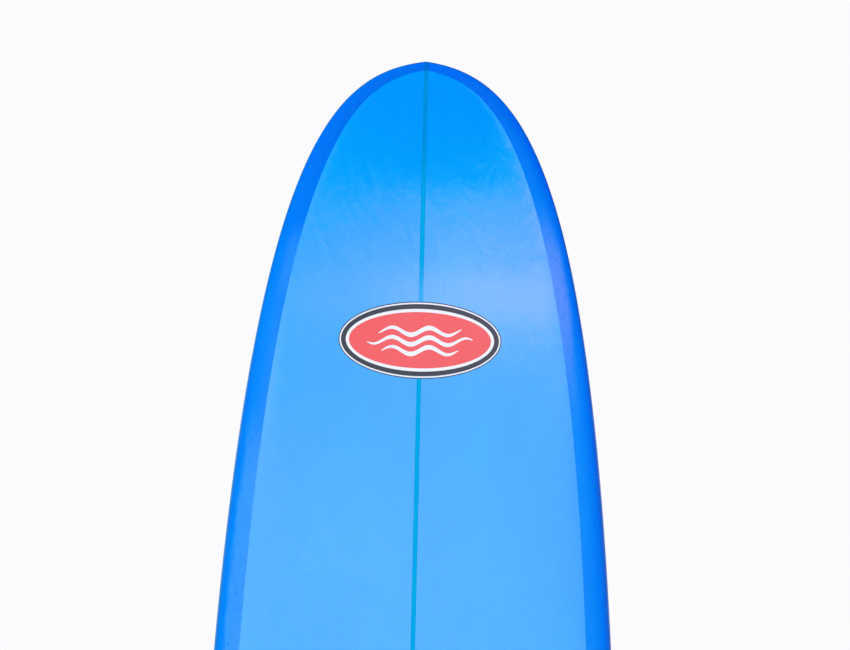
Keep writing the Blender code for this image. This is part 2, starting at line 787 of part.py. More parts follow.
OPENING_FAR = 0.30        # how far the opening prisms reach in Y
OPENING_MIN_HALF = 0.002
TAIL_EDGE_RISE = 0.0005   # a closing section is added where the last is higher than this
TAIL_EDGE_TAPER = 0.35    # half width lost per height, down to that section


def lap_width(from_nose):
    """Width of the bottom laminate's lap on the deck."""
    wide = (
        LAP_AT_TIP
        + LAP_NOSE_GROWTH * (1.0 - math.exp(-from_nose / LAP_NOSE_FADE))
        + LAP_SLOPE * min(from_nose, LAP_SLOPE_END)
    )
    tail = LENGTH - from_nose
    if tail < LAP_TAIL_STRETCH:
        blend = math.sin(math.pi / 2 * tail / LAP_TAIL_STRETCH)
        wide = LAP_AT_TAIL + (wide - LAP_AT_TAIL) * blend
    return wide


def opening(share, extra, far):
    """A prism from the apex line out to Y = far, bounded by a lap's edge."""
    (_, tip), *stations = outline(lambda from_nose: share * lap_width(from_nose) + extra)
    floor = LAP_TAIL_LINE * share + extra
    edge = [(x, z) for x, z in stations if z >= floor and x > OPENING_MIN_HALF]
    x, z = edge[-1]
    if z - floor > TAIL_EDGE_RISE:
        edge.append((x - TAIL_EDGE_TAPER * (z - floor), floor))
    rings = [[(-x, far, z), (x, far, z), (x, apex(z), z), (-x, apex(z), z)] for x, z in edge]
    verts, faces = loft(rings, cap_start=False)
    # Close the nose end on a line in the plane X = 0.
    a, b = len(verts), len(verts) + 1
    verts += [(0.0, far, tip), (0.0, apex(tip), tip)]
    faces += [(a, 1, 0), (b, 3, 2), (a, 0, 3, b), (a, b, 2, 1)]
    return verts, faces


def build_laminates(under_both, box_pockets, leash_pockets, plug_pockets):
    outer = helper("solid_hull_0", hull(0.0))
    under_deck = helper("solid_hull_under_deck", hull(SKIN))
    deck_alone = helper("solid_hull_deck_alone", hull(DECK_SKIN))

    deck_open = helper("prism_deck", opening(1.0, 0.0, -OPENING_FAR))
    deck_open_in = helper("prism_deck_in", opening(1.0, GAP, -OPENING_FAR))
    bottom_open = helper("prism_bottom", opening(DECK_LAP_SHARE, 0.0, OPENING_FAR))
    bottom_open_in = helper("prism_bottom_in", opening(DECK_LAP_SHARE, GAP, OPENING_FAR))

    # The deck laminate is thin over the bottom laminate and thick on the bare foam.
    cut(under_deck, deck_open_in)
    deck = solid("deck_laminate", hull(0.0), DECK_BLUE, sharp_angle=50.0)
    cut(deck, bottom_open, deck_alone, under_deck, *leash_pockets)

    # The bottom laminate fills the middle of the bottom flush and runs under the deck
    # laminate elsewhere.
    trim_to(bottom_open_in, outer)
    bottom = solid("bottom_laminate", hull(SKIN + GAP), RAIL_BLUE, sharp_angle=50.0)
    join(bottom, bottom_open_in)
    cut(bottom, under_both, deck_open, *box_pockets, *plug_pockets)


# --------------------------------------------------------------------------
# Badge
# --------------------------------------------------------------------------
BADGE_AT = 0.3875         # centre of the elliptical deck badge, from the nose
BADGE_HALF = (0.1140, 0.0540)    # half sizes in X and Z
BADGE_STEPS = 40
BADGE_FAR_Y = -0.20       # where the untrimmed block ends, beyond the deck


def badge_prism():
    centre = LENGTH - BADGE_AT
    half_x, half_z = BADGE_HALF
    angles = [2 * math.pi * k / BADGE_STEPS for k in range(BADGE_STEPS)]
    plan = [(half_x * math.cos(a), centre + half_z * math.sin(a)) for a in angles]
    return loft([[(x, y, z) for x, z in plan] for y in (BADGE_FAR_Y, apex(centre))])


def build_badge(under_both):
    """An elliptical block trimmed to a thin sheet under the deck laminate."""
    badge = solid("deck_badge", badge_prism(), PRINT)
    trim_to(badge, helper("solid_hull_badge", hull(DECK_SKIN + GAP)))
    cut(badge, under_both)


# --------------------------------------------------------------------------
# The board
# --------------------------------------------------------------------------
def build_board():
    build_fin_box()
    build_centre_fin()
    build_fin_pin()
    build_fin_screw()
    build_fin_plate()
    plug_pockets = {side: build_side_fin(side, sign) for side, sign in SIDES.items()}
    build_leash_cup()
    build_leash_bar()
    leash_pockets = build_leash_pockets()
    box_pockets = build_box_pockets()

    middle_pockets = box_pockets + leash_pockets
    for side, sign in SIDES.items():
        build_core(side, sign, middle_pockets + plug_pockets[side])
    build_stringer(middle_pockets)

    under_both = helper("solid_hull_under_both", hull(BOTH_SKINS))
    all_plug_pockets = plug_pockets["right"] + plug_pockets["left"]
    build_laminates(under_both, box_pockets, leash_pockets, all_plug_pockets)
    build_badge(under_both)


build_board()
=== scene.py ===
"""Looks of a longboard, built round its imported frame, in metres.

The board stands on its tail: x runs across, z up from the tail to the nose, the deck faces -y
and the bottom +y. Right is +x, as seen by someone facing the deck.

The skin is made of flush closed shells: the deck, the rail band where the two tints lap, the
bottom, the stringer line seen through the glass, and the oval badge. The shells of each face
are cut from one triangulation, so neighbours share their border points.
"""

import math
from functools import cache, cached_property

import bmesh
import bpy
import numpy as np
from mathutils import Matrix, Vector
from mathutils.geometry import delaunay_2d_cdt

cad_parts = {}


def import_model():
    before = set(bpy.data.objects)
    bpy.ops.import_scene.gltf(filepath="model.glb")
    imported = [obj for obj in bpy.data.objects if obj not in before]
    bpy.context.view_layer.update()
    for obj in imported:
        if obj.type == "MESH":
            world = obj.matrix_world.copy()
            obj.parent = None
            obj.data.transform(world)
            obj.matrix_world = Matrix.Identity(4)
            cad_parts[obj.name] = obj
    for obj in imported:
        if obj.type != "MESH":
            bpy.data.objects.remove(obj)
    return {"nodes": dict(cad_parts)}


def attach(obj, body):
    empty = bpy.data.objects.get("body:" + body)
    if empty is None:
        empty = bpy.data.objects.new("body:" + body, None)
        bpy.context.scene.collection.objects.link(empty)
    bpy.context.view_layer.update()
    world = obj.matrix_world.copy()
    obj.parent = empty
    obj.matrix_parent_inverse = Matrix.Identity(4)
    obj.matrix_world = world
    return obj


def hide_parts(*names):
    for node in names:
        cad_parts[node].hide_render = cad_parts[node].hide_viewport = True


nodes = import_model()["nodes"]
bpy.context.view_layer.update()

# --------------------------------------------------------------------------
# Sizes of the hull, the same shape as the frame's
# --------------------------------------------------------------------------
LENGTH, THICKNESS = 2.769, 0.073
NOSE_TIP_THICKNESS, TAIL_END_THICKNESS = 0.020, 0.015
NOSE_ROCKER, TAIL_ROCKER, FLAT_SPOT = 0.115, 0.072, 1.300
NOSE_ROCKER_POWER, TAIL_ROCKER_POWER = 4.0, 2.2
NOSE_FOIL_POWER, TAIL_FOIL_POWER = 2.9, 3.45
TIP_ROUND, TAIL_ROUND = 0.016, 0.006
DECK_CROWN, BOTTOM_ROLL = 0.28, 0.10
DECK_RAIL_POWER, BOTTOM_RAIL_POWER = 10.0, 14.0
# Share of the thickness below the rail's widest line, and how it grows towards both ends
SHARE_BELOW, SHARE_GROWTH = 0.42, 0.08
SHARE_TAIL_REACH, SHARE_NOSE_REACH = 0.12, 0.2

# The outline as four cubic curves: handles of (half width, distance from the nose)
NOSE_CURVE = ((0.0, 0.0), (0.1207, 0.0163), (0.2272, 0.1014), (0.2786, 0.8002))
SHOULDER_CURVE = ((0.2786, 0.8002), (0.2896, 0.9500), (0.2920, 1.0500), (0.2920, 1.2000))
HIP_CURVE = ((0.2920, 1.2000), (0.2920, 1.7200), (0.2430, 2.4890), (0.0880, 2.7390))
CORNER_CURVE = ((0.0880, 2.7390), (0.0760, 2.7583), (0.0660, 2.7690), (0.0500, 2.7690))
OUTLINE = (NOSE_CURVE, SHOULDER_CURVE, HIP_CURVE, CORNER_CURVE)

# The skin; the tables with True and False are for the deck and for the bottom
SKIN = {True: 0.0021, False: 0.0027}
LINE_HALF = 0.00635 / 2                 # the stringer as seen through the glass
TIP_BLEND = 0.012                       # half width within which the plan normals turn upright
LAP_SHARE = {True: 1.0, False: 0.80}    # width of the band on each face, in lap widths
LAP_AT_TIP, LAP_SWELL, LAP_SWELL_REACH = 0.0126, 0.014, 0.070
LAP_GROWTH, LAP_GROWTH_END = 0.012, 0.95
LAP_AT_TAIL, LAP_TAIL_REACH = 0.020, 0.30

# The badge
BADGE_Z, BADGE_HALF = LENGTH - 0.3875, (0.1140, 0.0540)
BADGE_RINGS = (0.0, 0.0014, 0.0034, 0.0102, 0.0146)     # each line's way in from the oval
FINE_HALF = (0.116, 0.056)              # the finely meshed patch round the badge
SWELL_HEIGHT, SWELL_LENGTH, SWELL_FAT = 0.0050, 0.052, 0.0060
SWELLS = ((0.0125, 0.058), (-0.0010, 0.074), (-0.0145, 0.054))  # (height in the badge, reach)

# Fin box, centre fin, side fins and leash plug
BOX_AT, BOX_REACH, BOX_SINK, FIN_SHIFT = 0.288, 0.135, 0.0005, -0.010
SIDE_AT, SIDE_TOE = (0.138, 0.372), math.radians(2.5)
PLUG_SPACING, LEASH_AT = 0.056, 0.092
PLUG_OFFSETS = (PLUG_SPACING / 2, -PLUG_SPACING / 2)
HOLE_RADIUS, HOLE_STEPS = 0.0143, 56    # round openings in the skin
# The stringer line runs this far under the edge of each opening
LINE_TO_LEASH, LINE_TO_BOX, LINE_IN_BADGE = 0.0125, 0.130, 0.0006


# --------------------------------------------------------------------------
# The hull's shape
# --------------------------------------------------------------------------
def bezier(handles, shares):
    """Points and slopes of a cubic curve."""
    start, first, second, last = np.array(handles, float)
    t = np.atleast_1d(np.asarray(shares, float))[:, None]
    rest = 1.0 - t
    point = (
        rest**3 * start + 3 * rest * rest * t * first + 3 * rest * t * t * second + t**3 * last
    )
    slope = (
        3 * rest * rest * (first - start)
        + 6 * rest * t * (second - first)
        + 3 * t * t * (last - second)
    )
    return point, slope


def plan_normal(slope):
    """Outward normal across and up, from the slope of an outline curve."""
    size = np.hypot(slope[:, 0], slope[:, 1])
    return slope[:, 1] / size, slope[:, 0] / size


def outline_points(shares):
    """Rows of (half width, height, normal across, normal up) from the nose to the tail's corner."""
    rows = []
    for number, (curve, t) in enumerate(zip(OUTLINE, shares)):
        t = np.asarray(t)
        if number:
            t = t[t > 1e-9]
        point, slope = bezier(curve, t)
        rows.append(np.column_stack((point[:, 0], LENGTH - point[:, 1], *plan_normal(slope))))
    return np.vstack(rows)


DENSE = outline_points([np.linspace(0.0, 1.0, 5001)] * 4)


@cache
def inset_outline(inset):
    """Heights and half widths of the outline moved in by inset, from the tail up."""
    half = DENSE[:, 0] - inset * DENSE[:, 2]
    height = DENSE[:, 1] - inset * DENSE[:, 3]
    keep = half > 0
    half, height = half[keep], height[keep]
    half = np.concatenate(([0.0], half))
    height = np.concatenate(([height[0] + 1e-5], height))
    order = np.argsort(height, kind="stable")
    return height[order], half[order]


def half_at(z, inset=0.0):
    """Half width at a height."""
    return np.interp(z, *inset_outline(inset))


def rocker(z):
    """y of the bow of the board."""
    level = TAIL_END_THICKNESS / 2 + TAIL_ROCKER
    low = np.clip((FLAT_SPOT - z) / FLAT_SPOT, 0, None) ** TAIL_ROCKER_POWER
    high = np.clip((z - FLAT_SPOT) / (LENGTH - FLAT_SPOT), 0, None) ** NOSE_ROCKER_POWER
    return level - TAIL_ROCKER * low - NOSE_ROCKER * high


def foil(z):
    """Thickness at a height."""
    low = np.clip(1.0 - z / FLAT_SPOT, 0, None) ** TAIL_FOIL_POWER
    high = np.clip(1.0 - (LENGTH - z) / (LENGTH - FLAT_SPOT), 0, None) ** NOSE_FOIL_POWER
    to_tail, to_nose = THICKNESS - TAIL_END_THICKNESS, THICKNESS - NOSE_TIP_THICKNESS
    return THICKNESS - to_tail * low - to_nose * high


def share_below(z):
    tail = SHARE_GROWTH * np.exp(-z / SHARE_TAIL_REACH)
    return SHARE_BELOW + tail + SHARE_GROWTH * np.exp(-(LENGTH - z) / SHARE_NOSE_REACH)


def apex(z):
    """y of the rail's widest line."""
    return rocker(z) - share_below(z) * foil(z)


def end_factor(z, inset):
    """Rounds off the nose tip and the end of the tail block."""
    way = np.clip((LENGTH - z) - inset, 0, None)
    curve = np.sqrt(np.clip(1 - (1 - way / TIP_ROUND) ** 2, 0, None))
    tip = np.where(way >= TIP_ROUND, 1.0, curve)
    way = np.clip(z - inset, 0, TAIL_ROUND)
    tail = np.clip(1 - (1 - way / TAIL_ROUND) ** 3, 0, None) ** (1 / 3)
    return tip * tail


def section_y(rho, z, deck, inset=0.0, rounding=1.0):
    """y of a face at a share rho of the half width."""
    if deck:
        side, share, crown, power = -1.0, 1 - share_below(z), DECK_CROWN, DECK_RAIL_POWER
    else:
        side, share, crown, power = 1.0, share_below(z), BOTTOM_ROLL, BOTTOM_RAIL_POWER
    reach = (share * foil(z) - inset) * rounding
    rail = np.sqrt(np.clip(1 - rho**power, 0, None))
    return apex(z) + side * reach * ((1 - crown) * rail + crown * (1 - rho * rho))


def surface_y(x, z, deck, inset=0.0):
    x, z = np.asarray(x, float), np.asarray(z, float)
    rho = np.clip(np.abs(x) / np.maximum(half_at(z, inset), 1e-7), 0, 1)
    return section_y(rho, z, deck, inset, end_factor(z, inset))


def surface_normal(x, z, deck):
    step_x, step_z = 1e-5, 4e-5
    slope_x = surface_y(x + step_x, z, deck) - surface_y(x - step_x, z, deck)
    slope_z = surface_y(x, z + step_z, deck) - surface_y(x, z - step_z, deck)
    slope_x, slope_z = slope_x / (2 * step_x), slope_z / (2 * step_z)
    sign = -1.0 if deck else 1.0
    normal = np.column_stack((-sign * slope_x, np.full(len(slope_x), sign), -sign * slope_z))
    return normal / np.linalg.norm(normal, axis=1)[:, None]


def lap_width(way):
    """Width of the bottom tint's lap on the deck, at a distance from the nose."""
    swell = LAP_SWELL * (1 - np.exp(-way / LAP_SWELL_REACH))
    wide = LAP_AT_TIP + swell + LAP_GROWTH * np.minimum(way, LAP_GROWTH_END)
    tail = LENGTH - way
    turn = math.pi / 2 * np.clip(tail, 0, LAP_TAIL_REACH) / LAP_TAIL_REACH
    narrowed = LAP_AT_TAIL + (wide - LAP_AT_TAIL) * np.sin(turn)
    return np.where(tail < LAP_TAIL_REACH, narrowed, wide)


# --------------------------------------------------------------------------
# Stations round the outline
# --------------------------------------------------------------------------
def near_centre(x, across, up):
    """Turns the plan normal smoothly upright near the middle, where the two sides meet."""
    weight = np.clip(np.abs(x) / TIP_BLEND, 0, 1)
    weight = weight * weight * (3 - 2 * weight)
    across = across * weight
    size = np.hypot(across, up)
    return across / size, up / size


def lap_x(t, share):
    """Half width of a lap's edge at a point of the nose curve."""
    point, slope = bezier(NOSE_CURVE, t)
    across, _ = near_centre(point[:, 0], *plan_normal(slope))
    return point[:, 0] - share * lap_width(point[:, 1]) * across


def where_lap_is(target, share):
    """Place on the nose curve where a lap's edge has a given half width."""
    low, high = 0.0, 0.2
    for _ in range(60):
        mid = (low + high) / 2
        if lap_x(mid, share)[0] < target:
            low = mid
        else:
            high = mid
    return (low + high) / 2


# A station falls exactly where each lap's edge meets the stringer line.
nose_shares = list((np.arange(0, 121) / 120.0) ** 1.15)
for lap_share in LAP_SHARE.values():
    meeting = where_lap_is(LINE_HALF, lap_share)
    nose_shares = [t for t in nose_shares if t in (0.0, 1.0) or abs(t - meeting) > 0.0012]
    nose_shares.append(meeting)
side = outline_points(
    (sorted(set(nose_shares)), np.linspace(0, 1, 11), np.linspace(0, 1, 91), np.linspace(0, 1, 17))
)
TAIL_END_X = (0.043, 0.036, 0.029, 0.022, 0.015, 0.009, LINE_HALF, 0.0)
side = np.vstack((side, [(x, 0.0, 0.0, -1.0) for x in TAIL_END_X]))
side[:, 2], side[:, 3] = near_centre(side[:, 0], side[:, 2], side[:, 3])
HALF_COUNT = len(side)
mirrored = side[-2:0:-1] * np.array([-1.0, 1.0, -1.0, 1.0])
LOOP = np.vstack((side, mirrored))          # right side down, left side up
LAPS = lap_width(LENGTH - LOOP[:, 1])


def loop_inset(distance):
    return LOOP[:, :2] - distance[:, None] * LOOP[:, 2:]


LAP_EDGE = {deck: loop_inset(LAPS * share) for deck, share in LAP_SHARE.items()}


def lap_half(z, deck):
    """Half width of a lap's edge at a height."""
    edge = LAP_EDGE[deck][:HALF_COUNT]
    order = np.argsort(edge[:, 1], kind="stable")
    return np.interp(z, edge[order, 1], edge[order, 0])


# --------------------------------------------------------------------------
# Shader nodes
# --------------------------------------------------------------------------
class NodeTree:
    """A material's or world's nodes, with short names for the kinds that are used."""

    def __init__(self, name, world=False):
        self.owner = (bpy.data.worlds if world else bpy.data.materials).new(name)
        self.owner.use_nodes = True
        self.tree = self.owner.node_tree
        self.tree.nodes.clear()

    def put(self, socket, value):
        if isinstance(value, bpy.types.NodeSocket):
            self.tree.links.new(value, socket)
        elif isinstance(value, (tuple, list)) and len(value) == 3 and socket.type == "RGBA":
            socket.default_value = (*value, 1.0)
        elif value is not None:
            socket.default_value = value

    def node(self, kind, inputs=(), **settings):
        """A node with inputs filled by name or number."""
        made = self.tree.nodes.new("ShaderNode" + kind)
        for key, value in settings.items():
            setattr(made, key, value)
        for key, value in dict(inputs).items():
            self.put(made.inputs[key], value)
        return made

    @cached_property
    def place(self):
        return self.node("TexCoord").outputs["Object"]

    def math(self, operation, *values):
        return self.node("Math", enumerate(values), operation=operation).outputs[0]

    def multiply(self, first, *others):
        for other in others:
            first = self.math("MULTIPLY", first, other)
        return first

    def split(self, vector):
        return self.node("SeparateXYZ", {0: vector}).outputs

    def scaled(self, scale, shift):
        inputs = {"Vector": self.place, "Scale": scale, "Location": shift}
        return self.node("Mapping", inputs).outputs[0]

    def noise(self, scale, shift=(0.0, 0.0, 0.0), detail=2.0, rough=0.5, distort=0.0):
        inputs = {
            "Vector": self.scaled(scale, shift),
            "Scale": 1.0,
            "Detail": detail,
            "Roughness": rough,
            "Distortion": distort,
        }
        return self.node("TexNoise", inputs).outputs[0]

    def cells(self, scale, shift=(0.0, 0.0, 0.0)):
        inputs = {"Vector": self.scaled(scale, shift), "Scale": 1.0}
        return self.node("TexVoronoi", inputs).outputs["Distance"]

    def span(self, value, over, to=(0.0, 1.0), smooth=True):
        """Carries the value from one range to another and holds it at the ends."""
        how = "SMOOTHSTEP" if smooth else "LINEAR"
        inputs = enumerate((value, *over, *to))
        return self.node("MapRange", inputs, interpolation_type=how).outputs[0]

    def between(self, value, rise, fall):
        """One between two ranges, and fading to nought across them."""
        return self.multiply(self.span(value, over=rise), self.span(value, over=fall, to=(1.0, 0.0)))

    def mix(self, factor, base, to, blend="MIX"):
        inputs = {0: factor, 6: base, 7: to}
        return self.node("Mix", inputs, data_type="RGBA", blend_type=blend).outputs[2]

    def times(self, colour, by, share=1.0):
        return self.mix(share, colour, by, "MULTIPLY")

    def ramp(self, value, stops):
        """A colour ramp whose stops are in the value's own units."""
        low, high = stops[0][0], stops[-1][0]
        made = self.node("ValToRGB", {0: self.span(value, over=(low, high), smooth=False)})
        elements = made.color_ramp.elements
        while len(elements) < len(stops):
            elements.new(0.5)
        for element, (at, _) in zip(elements, stops):
            element.position = (at - low) / (high - low)
        for element, (_, colour) in zip(elements, stops):
            element.color = (*colour, 1.0)
        return made.outputs[0]

    def bump(self, height, distance, strength=1.0, under=None):
        inputs = {"Distance": distance, "Strength": strength, "Height": height, "Normal": under}
        return self.node("Bump", inputs).outputs[0]

    def background(self, colour, strength):
        return self.node("Background", {"Color": colour, "Strength": strength}).outputs[0]

    def mix_shader(self, factor, first, second):
        return self.node("MixShader", enumerate((factor, first, second))).outputs[0]

    def finish(self, shader, kind="OutputMaterial"):
        self.node(kind, {"Surface": shader})
        return self.owner

    def surface(self, colour, rough, bump=None, metal=0.0, specular=0.5, coat=0.0, coat_rough=0.1):
        inputs = {
            "Base Color": colour,
            "Roughness": rough,
            "Metallic": metal,
            "Specular IOR Level": specular,
            "Coat Weight": coat,
            "Coat Roughness": coat_rough,
            "Normal": bump,
        }
        return self.finish(self.node("BsdfPrincipled", inputs).outputs[0])


# --------------------------------------------------------------------------
# Materials
# --------------------------------------------------------------------------
def tinted_glass(name, tint, deep, pale, shift=0.0, gloss=None, zones=None):
    """Resin tint under a polished gloss: cloudy pigment, fine sanding lines, dust specks."""
    tree = NodeTree(name)
    cloud = tree.noise(scale=(9.0, 9.0, 3.5), shift=(shift, 0, 0), detail=4.0, rough=0.55, distort=0.3)
    grain = tree.noise(scale=(320.0, 320.0, 11.0), shift=(0, shift, 0), detail=3.0, rough=0.6)
    speck = tree.cells(scale=(30.0, 30.0, 30.0), shift=(shift, shift, 0))
    speck = tree.span(speck, over=(0.028, 0.050), to=(1.0, 0.0))
    colour = tree.mix(tree.span(cloud, over=(0.30, 0.72)), deep, tint)
    colour = tree.mix(tree.span(cloud, over=(0.58, 0.85), to=(0.0, 0.5)), colour, pale)
    if zones:
        colour = zones(tree, colour)
    colour = tree.mix(tree.span(grain, over=(0.35, 0.75), to=(0.0, 0.10)), colour, pale)
    colour = tree.mix(tree.multiply(speck, 0.35), colour, to=(0.0, 0.16, 0.62))
    mottle = tree.noise(scale=(210.0, 210.0, 120.0), shift=(0, 0, shift), detail=3.0, rough=0.65)
    colour = tree.mix(tree.span(mottle, over=(0.52, 0.72), to=(0.0, 0.36)), colour, pale)
    colour = tree.mix(tree.span(mottle, over=(0.48, 0.30), to=(0.0, 0.52)), colour, deep)
    roughness = tree.span(grain, over=(0.3, 0.7), to=(0.03, 0.07))
    specular = gloss(tree) if gloss else 0.5
    wave = tree.noise(scale=(38.0, 38.0, 14.0), detail=4.0, rough=0.6, distort=0.4)
    fine = tree.noise(scale=(700.0, 700.0, 40.0))
    bump = tree.bump(wave, distance=0.00030)
    bump = tree.bump(fine, distance=0.0000035, under=bump)
    return tree.surface(colour, roughness, bump, specular=specular)


def stringer_glass(name, middle, edge, nose, shift=0.0):
    """The wood strip seen through the tint, with a dark glue line along both edges."""
    tree = NodeTree(name)
    x, _, z = tree.split(tree.place)
    grain = tree.noise(scale=(900.0, 900.0, 9.0), detail=4.0, rough=0.6)
    patch = tree.noise(scale=(2.0, 2.0, 26.0), shift=(shift, 0, 0))
    wander = tree.multiply(tree.math("SUBTRACT", patch, 0.5), 0.0012)
    off = tree.math("ABSOLUTE", tree.math("ADD", x, wander))
    wood = tree.mix(tree.span(grain, over=(0.3, 0.7)), middle, edge)
    wood = tree.mix(0.55, middle, wood)
    wood = tree.mix(tree.span(off, over=(0.0016, 0.0027)), wood, edge)
    wood = tree.mix(tree.span(z, over=(LENGTH - 0.22, LENGTH - 0.10)), wood, nose)
    # Clear resin feathers out round the badge, so the strip pales and shines just above it.
    top = BADGE_Z + BADGE_HALF[1]
    feather = tree.between(z, rise=(top - 0.03, top), fall=(top, top + 0.060))
    paler = tree.multiply(feather, tree.span(off, over=(0.0008, 0.0024), to=(0.35, 0.9)))
    wood = tree.mix(paler, wood, to=(0.0, 0.33, 0.92))
    roughness = tree.span(grain, over=(0.3, 0.7), to=(0.12, 0.22))
    return tree.surface(wood, roughness, specular=tree.multiply(feather, 0.3))


def print_ink(name, ink, thin):
    """Ink on rice paper under the gloss."""
    tree = NodeTree(name)
    fibre = tree.noise(scale=(420.0, 420.0, 260.0), detail=4.0, rough=0.7, distort=1.2)
    press = tree.noise(scale=(30.0, 30.0, 30.0), detail=3.0)
    colour = tree.mix(tree.span(fibre, over=(0.42, 0.78), to=(0.0, 0.45)), ink, thin)
    colour = tree.mix(tree.span(press, over=(0.5, 0.8), to=(0.0, 0.25)), colour, thin)
    wave = tree.noise(scale=(38.0, 38.0, 12.0), detail=3.0, rough=0.55)
    roughness = tree.span(fibre, over=(0.3, 0.7), to=(0.08, 0.16))
    return tree.surface(colour, roughness, tree.bump(wave, distance=0.00005), specular=0.2)


def moulded_plastic(name):
    """Black plastic with flow marks, worn paler along its edges."""
    tree = NodeTree(name)
    worn = (0.045, 0.045, 0.048)
    grain = tree.noise(scale=(1400.0, 1400.0, 1400.0), detail=3.0, rough=0.6)
    flow = tree.noise(scale=(60.0, 60.0, 25.0), detail=3.0, distort=1.0)
    flow_mark = tree.span(flow, over=(0.35, 0.75), to=(0.0, 0.6))
    colour = tree.mix(flow_mark, (0.012, 0.012, 0.014), worn)
    colour = tree.mix(tree.span(grain, over=(0.5, 0.8), to=(0.0, 0.3)), colour, worn)
    edge = tree.node("NewGeometry").outputs["Pointiness"]
    colour = tree.mix(tree.span(edge, over=(0.52, 0.60), to=(0.0, 0.6)), colour, worn)
    roughness = tree.span(flow, over=(0.3, 0.7), to=(0.38, 0.55))
    return tree.surface(colour, roughness, tree.bump(grain, distance=0.00003, strength=0.7))


def fin_laminate(name):
    """Dark tinted cloth: a fine plain weave under a polished resin."""
    tree = NodeTree(name)
    cloth = (0.030, 0.042, 0.062)
    turned = tree.node("VectorRotate", {"Vector": tree.place}, rotation_type="X_AXIS")
    turned.inputs["Angle"].default_value = math.radians(20)
    threads = []
    for direction in ("Z", "Y"):
        inputs = {"Vector": turned.outputs[0], "Scale": 190.0, "Distortion": 0.6, "Detail": 1.0}
        wave = tree.node("TexWave", inputs, wave_type="BANDS", bands_direction=direction)
        threads.append(wave.outputs["Fac"])
    weave = tree.multiply(*threads)
    cloud = tree.noise(scale=(22.0, 22.0, 22.0), detail=4.0, distort=0.6)
    cloud_and_sheen = tree.span(cloud, over=(0.35, 0.7), to=(0.0, 0.7))
    colour = tree.mix(cloud_and_sheen, (0.006, 0.010, 0.018), cloth)
    colour = tree.mix(tree.span(weave, over=(0.25, 0.9), to=(0.0, 0.5)), colour, cloth)
    bump = tree.bump(weave, distance=0.00002, strength=0.6)
    roughness = tree.span(cloud, over=(0.3, 0.7), to=(0.16, 0.30))
    return tree.surface(colour, roughness, bump, coat=0.4, coat_rough=0.12)


def brushed_steel(name):
    tree = NodeTree(name)
    lines = tree.noise(scale=(2400.0, 300.0, 300.0), detail=3.0, rough=0.65)
    stain = tree.noise(scale=(140.0, 140.0, 140.0), detail=3.0)
    brushed = tree.span(lines, over=(0.3, 0.7))
    colour = tree.mix(brushed, (0.50, 0.50, 0.49), to=(0.66, 0.66, 0.65))
    stained = tree.span(stain, over=(0.55, 0.8), to=(0.0, 0.35))
    colour = tree.mix(stained, colour, to=(0.36, 0.33, 0.29))
    roughness = tree.span(lines, over=(0.3, 0.7), to=(0.22, 0.38))
    bump = tree.bump(lines, distance=0.00001, strength=0.5)
    return tree.surface(colour, roughness, bump, metal=1.0)


def foam_finish(name):
    tree = NodeTree(name)
    cell = tree.cells(scale=(1600.0, 1600.0, 1600.0))
    shade = tree.noise(scale=(12.0, 12.0, 12.0), detail=3.0)
    shaded = tree.span(shade, over=(0.3, 0.7))
    colour = tree.mix(shaded, (0.80, 0.79, 0.74), to=(0.88, 0.88, 0.85))
    pitted = tree.span(cell, over=(0.2, 0.6), to=(0.25, 0.0))
    colour = tree.mix(pitted, colour, to=(0.62, 0.60, 0.55))
    bump = tree.bump(cell, distance=0.00025, strength=0.8)
    return tree.surface(colour, rough=0.9, bump=bump, specular=0.2)


def basswood(name):
    tree = NodeTree(name)
    rings = tree.noise(scale=(160.0, 160.0, 2.2), detail=5.0, rough=0.6, distort=0.8)
    pores = tree.noise(scale=(1500.0, 1500.0, 30.0))
    ringed = tree.span(rings, over=(0.3, 0.7))
    colour = tree.mix(ringed, (0.52, 0.36, 0.20), to=(0.70, 0.54, 0.34))
    porous = tree.span(pores, over=(0.55, 0.8), to=(0.0, 0.4))
    colour = tree.mix(porous, colour, to=(0.36, 0.23, 0.12))
    roughness = tree.span(rings, over=(0.3, 0.7), to=(0.5, 0.7))
    bump = tree.bump(pores, distance=0.00008, strength=0.6)
    return tree.surface(colour, roughness, bump, specular=0.3)


def deck_zones(tree, colour):
    """Painted lavender reflections on the deck's tint slightly above and across the badge, more so
    to the right, and the tint deepens a little towards the tip."""
    x, _, z = tree.split(tree.place)
    # Painted reflection: a lavender sheen over the badge's top and just above it, more so to the right
    cloud_and_sheen = tree.between(z, rise=(2.395, 2.435), fall=(2.455, 2.495))
    cloud_and_sheen = tree.multiply(cloud_and_sheen, tree.span(x, over=(-0.11, 0.02), to=(0.08, 0.30)))
    # Painted reflection: a fainter lavender sheen higher up, more so to the right
    painted_sheen_higher = tree.between(z, rise=(2.50, 2.545), fall=(2.570, 2.605))
    painted_sheen_higher = tree.multiply(painted_sheen_higher, tree.span(x, over=(-0.12, 0.05), to=(0.02, 0.14)))
    colour = tree.mix(tree.math("ADD", cloud_and_sheen, painted_sheen_higher), colour, to=(0.125, 0.365, 0.98))
    tip = tree.span(z, over=(LENGTH - 0.15, LENGTH - 0.01), to=(0.0, 0.7))
    return tree.mix(tip, colour, to=(0.0, 0.268, 0.94))


def deck_gloss(tree):
    """The last few centimetres before the tip are sanded flat."""
    z = tree.split(tree.place)[2]
    return tree.span(z, over=(LENGTH - 0.036, LENGTH - 0.022), to=(0.5, 0.03))


def band_gloss(tree):
    """The lap is duller at the nose, where it is sanded through to the pigment."""
    return tree.span(tree.split(tree.place)[2], over=(2.38, 2.56), to=(0.075, 0.02))


